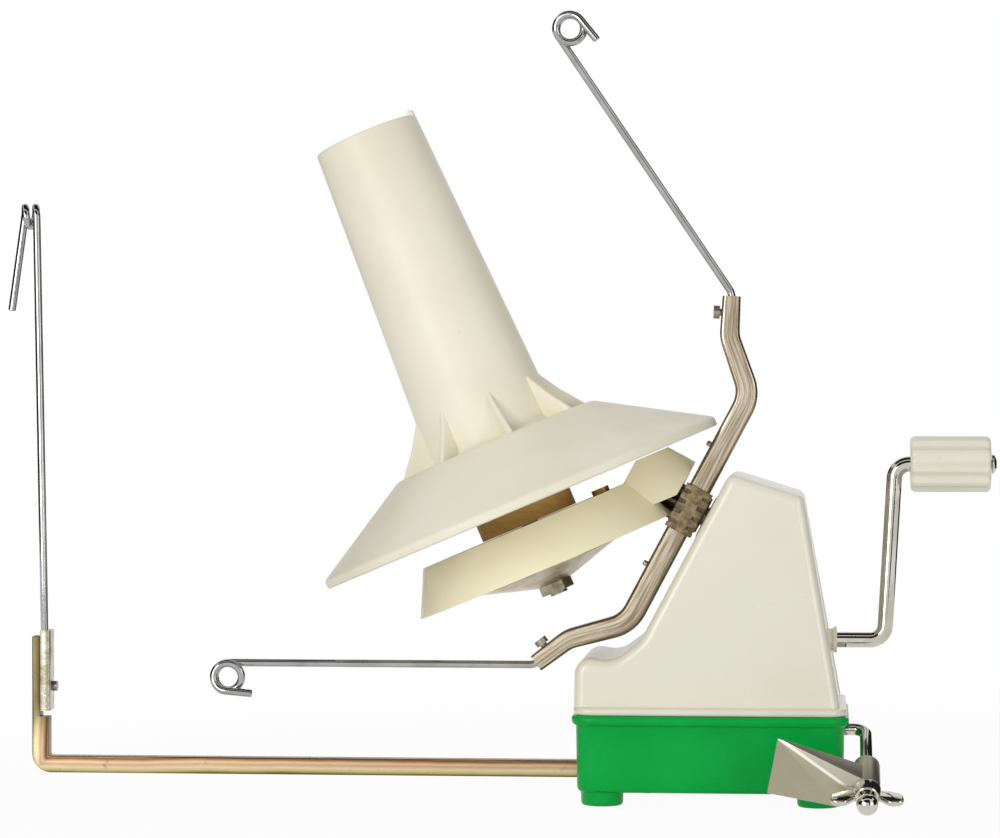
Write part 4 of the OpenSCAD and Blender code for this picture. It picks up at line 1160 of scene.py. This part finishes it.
# %% Guide wire
GUIDE_WIRE_X = -223.65
GUIDE_WIRE_Y = -15.45
COIL_R = 3.2
COIL_TURN = 540.0
COIL_PITCH = 3.6
GUIDE_TAIL = 32.0
coil_from = Vector((GUIDE_WIRE_X - 2.6, GUIDE_WIRE_Y, 195.0))
guide_points = eased(
    [(GUIDE_WIRE_X, GUIDE_WIRE_Y, 29.0), (GUIDE_WIRE_X, GUIDE_WIRE_Y, UPRIGHT_H - 2), coil_from],
    [0, 30.0, 0], 8)[:-1]
for i in range(EYE_STEPS + 1):
    part = i / EYE_STEPS
    angle = math.radians(COIL_TURN * part)
    guide_points.append(coil_from + Vector((
        -COIL_PITCH * COIL_TURN / 360 * part, COIL_R * (1 - math.cos(angle)), COIL_R * math.sin(angle))))
guide_points.append(guide_points[-1] + Vector((-0.14, 0.0, -0.99)) * GUIDE_TAIL)
guide_wire = bmesh.new()
wire(guide_wire, [p * MM for p in guide_points], WIRE_D / 2 * MM)
piece_from(guide_wire, "guide_wire_rod", CHROME, "guide", "guide_wire")

# %% [markdown]
# The clamp is a bent rod with a ball on its end. A sheet jaw slides on it, and a wing nut pushes
# the jaw up under the table. The jaw is one folded sheet with a rolled knuckle: a few flat facets
# given thickness and then a fine bevel. The wing nut is a turned cone with two rounded ears.

# %% Clamp rod
DROOP = math.radians(23.0)
CLAMP_X = 51.0


def on_clamp(x, back, up):
    """A place beside the clamp's rod: out to the right, along the rod and square to it."""
    return plain_place(
        x,
        CLAMP_Y + back * math.cos(DROOP) - up * math.sin(DROOP),
        CLAMP_Z + back * math.sin(DROOP) + up * math.cos(DROOP),
    )


def along_rod(across, depth, along):
    return on_clamp(CLAMP_X + across, -along, depth)


CLAMP_LEN = 49.9
ROD_R = 2.0
BALL_R = 3.5
rod_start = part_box("clamp_rod")[0][0] / MM
rod = bmesh.new()
rod_line = eased([(rod_start, 0.0), (CLAMP_X, 0.0), (CLAMP_X, -CLAMP_LEN)], [0, 4.0, 0], 12)
wire(rod, [on_clamp(p.x, p.y, 0.0) for p in rod_line], ROD_R * MM, 24)
ball_turns = [math.pi * (0.03 + 0.94 * i / 24) for i in range(25)]
ball = [(BALL_R * math.sin(turn), CLAMP_LEN - BALL_R * math.cos(turn)) for turn in ball_turns]
turned(rod, ball, along_rod, 48)
piece_from(rod, "ball_end_rod", ROD_STEEL, "clamp", "clamp_rod", 60.0)

# %% Clamp jaw
JAW_BACK = 25.0
JAW_W = 16.0
KNUCKLE_R = 4.3
jaw_corners = [
    (-28.5, -31.0, 13.5), (-1.0, -31.0, 3.95), (-1.0, -41.0, 3.95), (-4.0, -41.0, -0.6),
    (-9.0, -41.0, -5.7), (-32.0, -31.0, -6.5),
]
jaw_shift = Vector((0.15, 0.7, -0.7)) * 1.3


def jaw_place(corner, shift=(0.0, 0.0, 0.0)):
    """A corner of the jaw's upper side, or one of its lower side when it is shifted."""
    x, back, up = jaw_corners[corner]
    return on_clamp(CLAMP_X + x + shift[0], back + shift[1], up + shift[2])


def nickel_with_painted_crease_light(name):
    """Dull sheet with a painted highlight along its crease and painted shade below it."""
    f = new_finish(name)
    crease = (jaw_place(3) - jaw_place(0)).normalized()
    below = jaw_place(5) - jaw_place(0)
    below = (below - crease * below.dot(crease)).normalized()
    offset = from_place(f, jaw_place(0))
    cloud = noise(f, stretched(f), 90.0, 4.0, 0.6)
    lines = noise(f, stretched(f, (0.15, 1.0, 1.0)), 700.0, 3.0, 0.6)
    # painted shade: below the crease, the lower facets take a darker, shaded copy of the nickel, and the
    # upper ones a lit copy
    under = band(f, millimetres_along(f, offset, below), 0.0, 0.7)
    # painted highlight: a light band along the crease
    fold = 1 - band(f, millimetres_beside(f, offset, crease), 0.25, 0.8)
    upper = mix(f, cloud, linear(190, 186, 172), linear(172, 166, 148))
    lower = mix(f, cloud, linear(176, 170, 150), linear(156, 149, 126))
    tint = mix(f, under, upper, lower)
    return surface(f, {
        "Base Color": mix(f, fold, tint, linear(240, 236, 224)),
        "Metallic": 1.0,
        "Roughness": 0.34 + lines * 0.12 - fold * 0.1,
        "Normal": bump(f, lines, 0.1, 0.0002),
    })


JAW_NICKEL = nickel_with_painted_crease_light("jaw_nickel")
jaw = bmesh.new()
count = len(jaw_corners)
top_row = [jaw.verts.new(jaw_place(i)) for i in range(count)]
low_row = [jaw.verts.new(jaw_place(i, jaw_shift)) for i in range(count)]
for i in range(1, count - 1):
    jaw.faces.new((top_row[0], top_row[i], top_row[i + 1]))
    jaw.faces.new((low_row[0], low_row[i + 1], low_row[i]))
for i in range(count):
    k = (i + 1) % count
    jaw.faces.new((top_row[i], top_row[k], low_row[k], low_row[i]))
bmesh.ops.recalc_face_normals(jaw, faces=jaw.faces[:])
bmesh.ops.bevel(
    jaw, geom=jaw.edges[:], offset=0.32 * MM, segments=3, profile=0.5, affect="EDGES", clamp_overlap=True)
knuckle = eased([
    (ROD_BORE_R, JAW_BACK), (KNUCKLE_R, JAW_BACK), (KNUCKLE_R, JAW_BACK + JAW_W),
    (ROD_BORE_R, JAW_BACK + JAW_W)], [0, 0.5, 0.5, 0], 5)
turned(jaw, knuckle, along_rod, 56, shut=True)
piece_from(jaw, "folded_jaw", JAW_NICKEL, "jaw", "clamp_jaw", 30.0)

# %% Wing nut
NUT_FROM = JAW_BACK + JAW_W + 0.3
NUT_T = 4.8
nut = bmesh.new()
nut_profile = eased([
    (ROD_BORE_R, NUT_FROM), (4.7, NUT_FROM), (3.9, NUT_FROM + NUT_T), (ROD_BORE_R, NUT_FROM + NUT_T)],
    [0, 0.5, 0.7, 0], 5)
turned(nut, nut_profile, along_rod, 48, shut=True)
ear_line = eased([
    (3.0, 1.6), (3.0, NUT_T - 0.6), (7.0, NUT_T + 3.6), (11.8, NUT_T + 3.2), (11.2, NUT_T - 2.0),
    (6.0, 0.8), (3.0, 0.8)], [0, 0.6, 1.8, 2.1, 2.4, 1.2, 0], 6)
middle = sum(ear_line, Vector((0.0, 0.0))) / len(ear_line)
ear_steps = ((-1.0, 0.14), (-0.85, 0.06), (-0.5, 0.0), (0.5, 0.0), (0.85, 0.06), (1.0, 0.14))
for side in (-1, 1):
    ear_rings = []
    for deep, shrink in ear_steps:
        ear_rings.append([
            along_rod(
                side * (p.x + (middle.x - p.x) * shrink), deep,
                NUT_FROM + p.y + (middle.y - p.y) * shrink)
            for p in ear_line])
    loft(nut, ear_rings)
piece_from(nut, "wing_nut_casting", ROD_STEEL, "nut", "wing_nut", 40.0)

# %% [markdown]
# The screws under the tub don't show in the photograph, so their heads are drawn low and almost
# flush with the tub's floor. Their places are read from the box of the solid screws.

# %% Low base screws
HEAD_R = 2.5
head_profile = [(HEAD_R - 0.4, -0.35), (HEAD_R, -0.2), (HEAD_R, 0.4)]
low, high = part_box("base_screws")
base_screws = bmesh.new()
for x in (low[0] / MM + HEAD_R, high[0] / MM - HEAD_R):
    for y in (low[1] / MM + HEAD_R, high[1] / MM - HEAD_R):
        turned(base_screws, head_profile, along_z(x, y, FOOT_H), 32)
piece_from(base_screws, "low_base_screws", SCREW_STEEL, "frame", "base_screws", 40.0)

# %% [markdown]
# The background of the picture is white. The floor is white too, and for the rays of the camera
# and of reflections most of it glows, so that it reads as white paper but still takes a soft
# shadow from the winder.

# %% Floor
FLOOR_R = 3.0
FLOOR_Z = -0.0002
WHITE = (1.0, 1.0, 1.0, 1.0)


def seen_straight(finish):
    """1 for rays of the camera, of reflections and through glass, and 0 for all other light."""
    from_camera, mirrored, through = [
        finish.node("LightPath", {}, {}, kind)
        for kind in ("Is Camera Ray", "Is Glossy Ray", "Is Transmission Ray")]
    return finish.sum("MINIMUM", from_camera + mirrored + through, 1.0)


floor_mesh = bpy.data.meshes.new("floor")
floor_form = bmesh.new()
bmesh.ops.create_circle(floor_form, cap_ends=True, segments=96, radius=FLOOR_R)
floor_form.to_mesh(floor_mesh)
floor_form.free()
floor = linked("floor", floor_mesh)
floor.location = (0.0, 0.0, FLOOR_Z)
f = new_finish("floor_paper")
paper = f.node("BsdfDiffuse", {}, {"Color": (0.85, 0.85, 0.85, 1.0)}, "BSDF")
glow = f.node("Emission", {}, {"Color": WHITE, "Strength": 1.0}, "Emission")
far = band(f, f.vector("LENGTH", f.place(), output="Value"), 0.22, 0.5)
share = seen_straight(f) * (0.95 + far * 0.05)
lit = f.node("MixShader", {}, {"Fac": share, 1: paper, 2: glow}, "Shader")
f.node("OutputMaterial", {}, {"Surface": lit})
floor_mesh.materials.append(f.owner)
print("floor laid")

# %% [markdown]
# The light is that of a white studio: an even white sky, a large soft lamp from the upper left and
# front, two low ones at the front, and weaker ones from the right and from above. Dark cards stand
# round the winder and hang over it. Only reflections see them, and they give the bright metals
# something dark to mirror.

# %% Sky, lamps and dark cards
SKY_LEVEL = 0.46
world = bpy.data.worlds.new("studio")
bpy.context.scene.world = world
sky = Finish(world)
strength = SKY_LEVEL + seen_straight(sky) * (1.0 - SKY_LEVEL)
sky_light = sky.node("Background", {}, {"Color": WHITE, "Strength": strength}, "Background")
sky.node("OutputWorld", {}, {"Surface": sky_light})

MIDDLE = Vector((-0.06, 0.0, 0.12))
for name, place, size, watts in (
        ("key_lamp", (-0.9, -1.4, 0.55), 0.9, 8.0),
        ("low_lamp", (-0.76, -1.45, 0.06), 0.4, 3.8),
        ("low_right_lamp", (0.85, -1.4, 0.06), 0.4, 3.2),
        ("side_lamp", (1.2, -1.2, 0.4), 0.8, 3.0),
        ("top_lamp", (0.0, 0.3, 1.6), 0.9, 2.0),
):
    data = bpy.data.lights.new(name, "AREA")
    data.shape = "DISK"
    data.size = size
    data.energy = watts
    lamp = linked(name, data)
    lamp.location = place
    lamp.rotation_euler = (Vector(place) - MIDDLE).to_track_quat("Z", "Y").to_euler()

FELT = (0.03, 0.03, 0.03, 1.0)
CARD_LOW = -0.05
CARD_HIGH = 1.1


def dark_card(name, corners):
    """A card that only reflections see."""
    mesh = bpy.data.meshes.new(name)
    mesh.from_pydata([Vector(corner) for corner in corners], [], [(0, 1, 2, 3)])
    card = linked(name, mesh)
    card.visible_camera = False
    card.visible_diffuse = False
    card.visible_shadow = False
    felt = new_finish(name + "_felt")
    cloth = felt.node("BsdfDiffuse", {}, {"Color": FELT}, "BSDF")
    felt.node("OutputMaterial", {}, {"Surface": cloth})
    mesh.materials.append(felt.owner)


for name, start, end in (
        ("card_front", (0.24, -0.7), (0.5, -0.7)),
        ("card_right_near", (0.6, 0.14), (0.35, 0.54)),
        ("card_left", (-1.5, -0.8), (-1.5, 1.0)),
        ("card_right", (1.5, -0.6), (1.5, 1.0)),
        ("card_back_left", (-1.5, 1.0), (-0.75, 1.5)),
        ("card_back_right", (0.62, 1.5), (1.5, 1.0)),
):
    dark_card(name, [(*start, CARD_LOW), (*end, CARD_LOW), (*end, CARD_HIGH), (*start, CARD_HIGH)])
dark_card("card_high_front", [
    (-0.9, -1.5, 0.75), (0.7, -1.5, 0.75), (0.7, -0.8, 1.35), (-0.9, -0.8, 1.35)])
dark_card("card_above", [
    (-1.2, -0.5, 1.45), (1.2, -0.5, 1.45), (1.2, 0.9, 1.45), (-1.2, 0.9, 1.45)])
print("studio lit")

# %% Close
print("scene dressed")
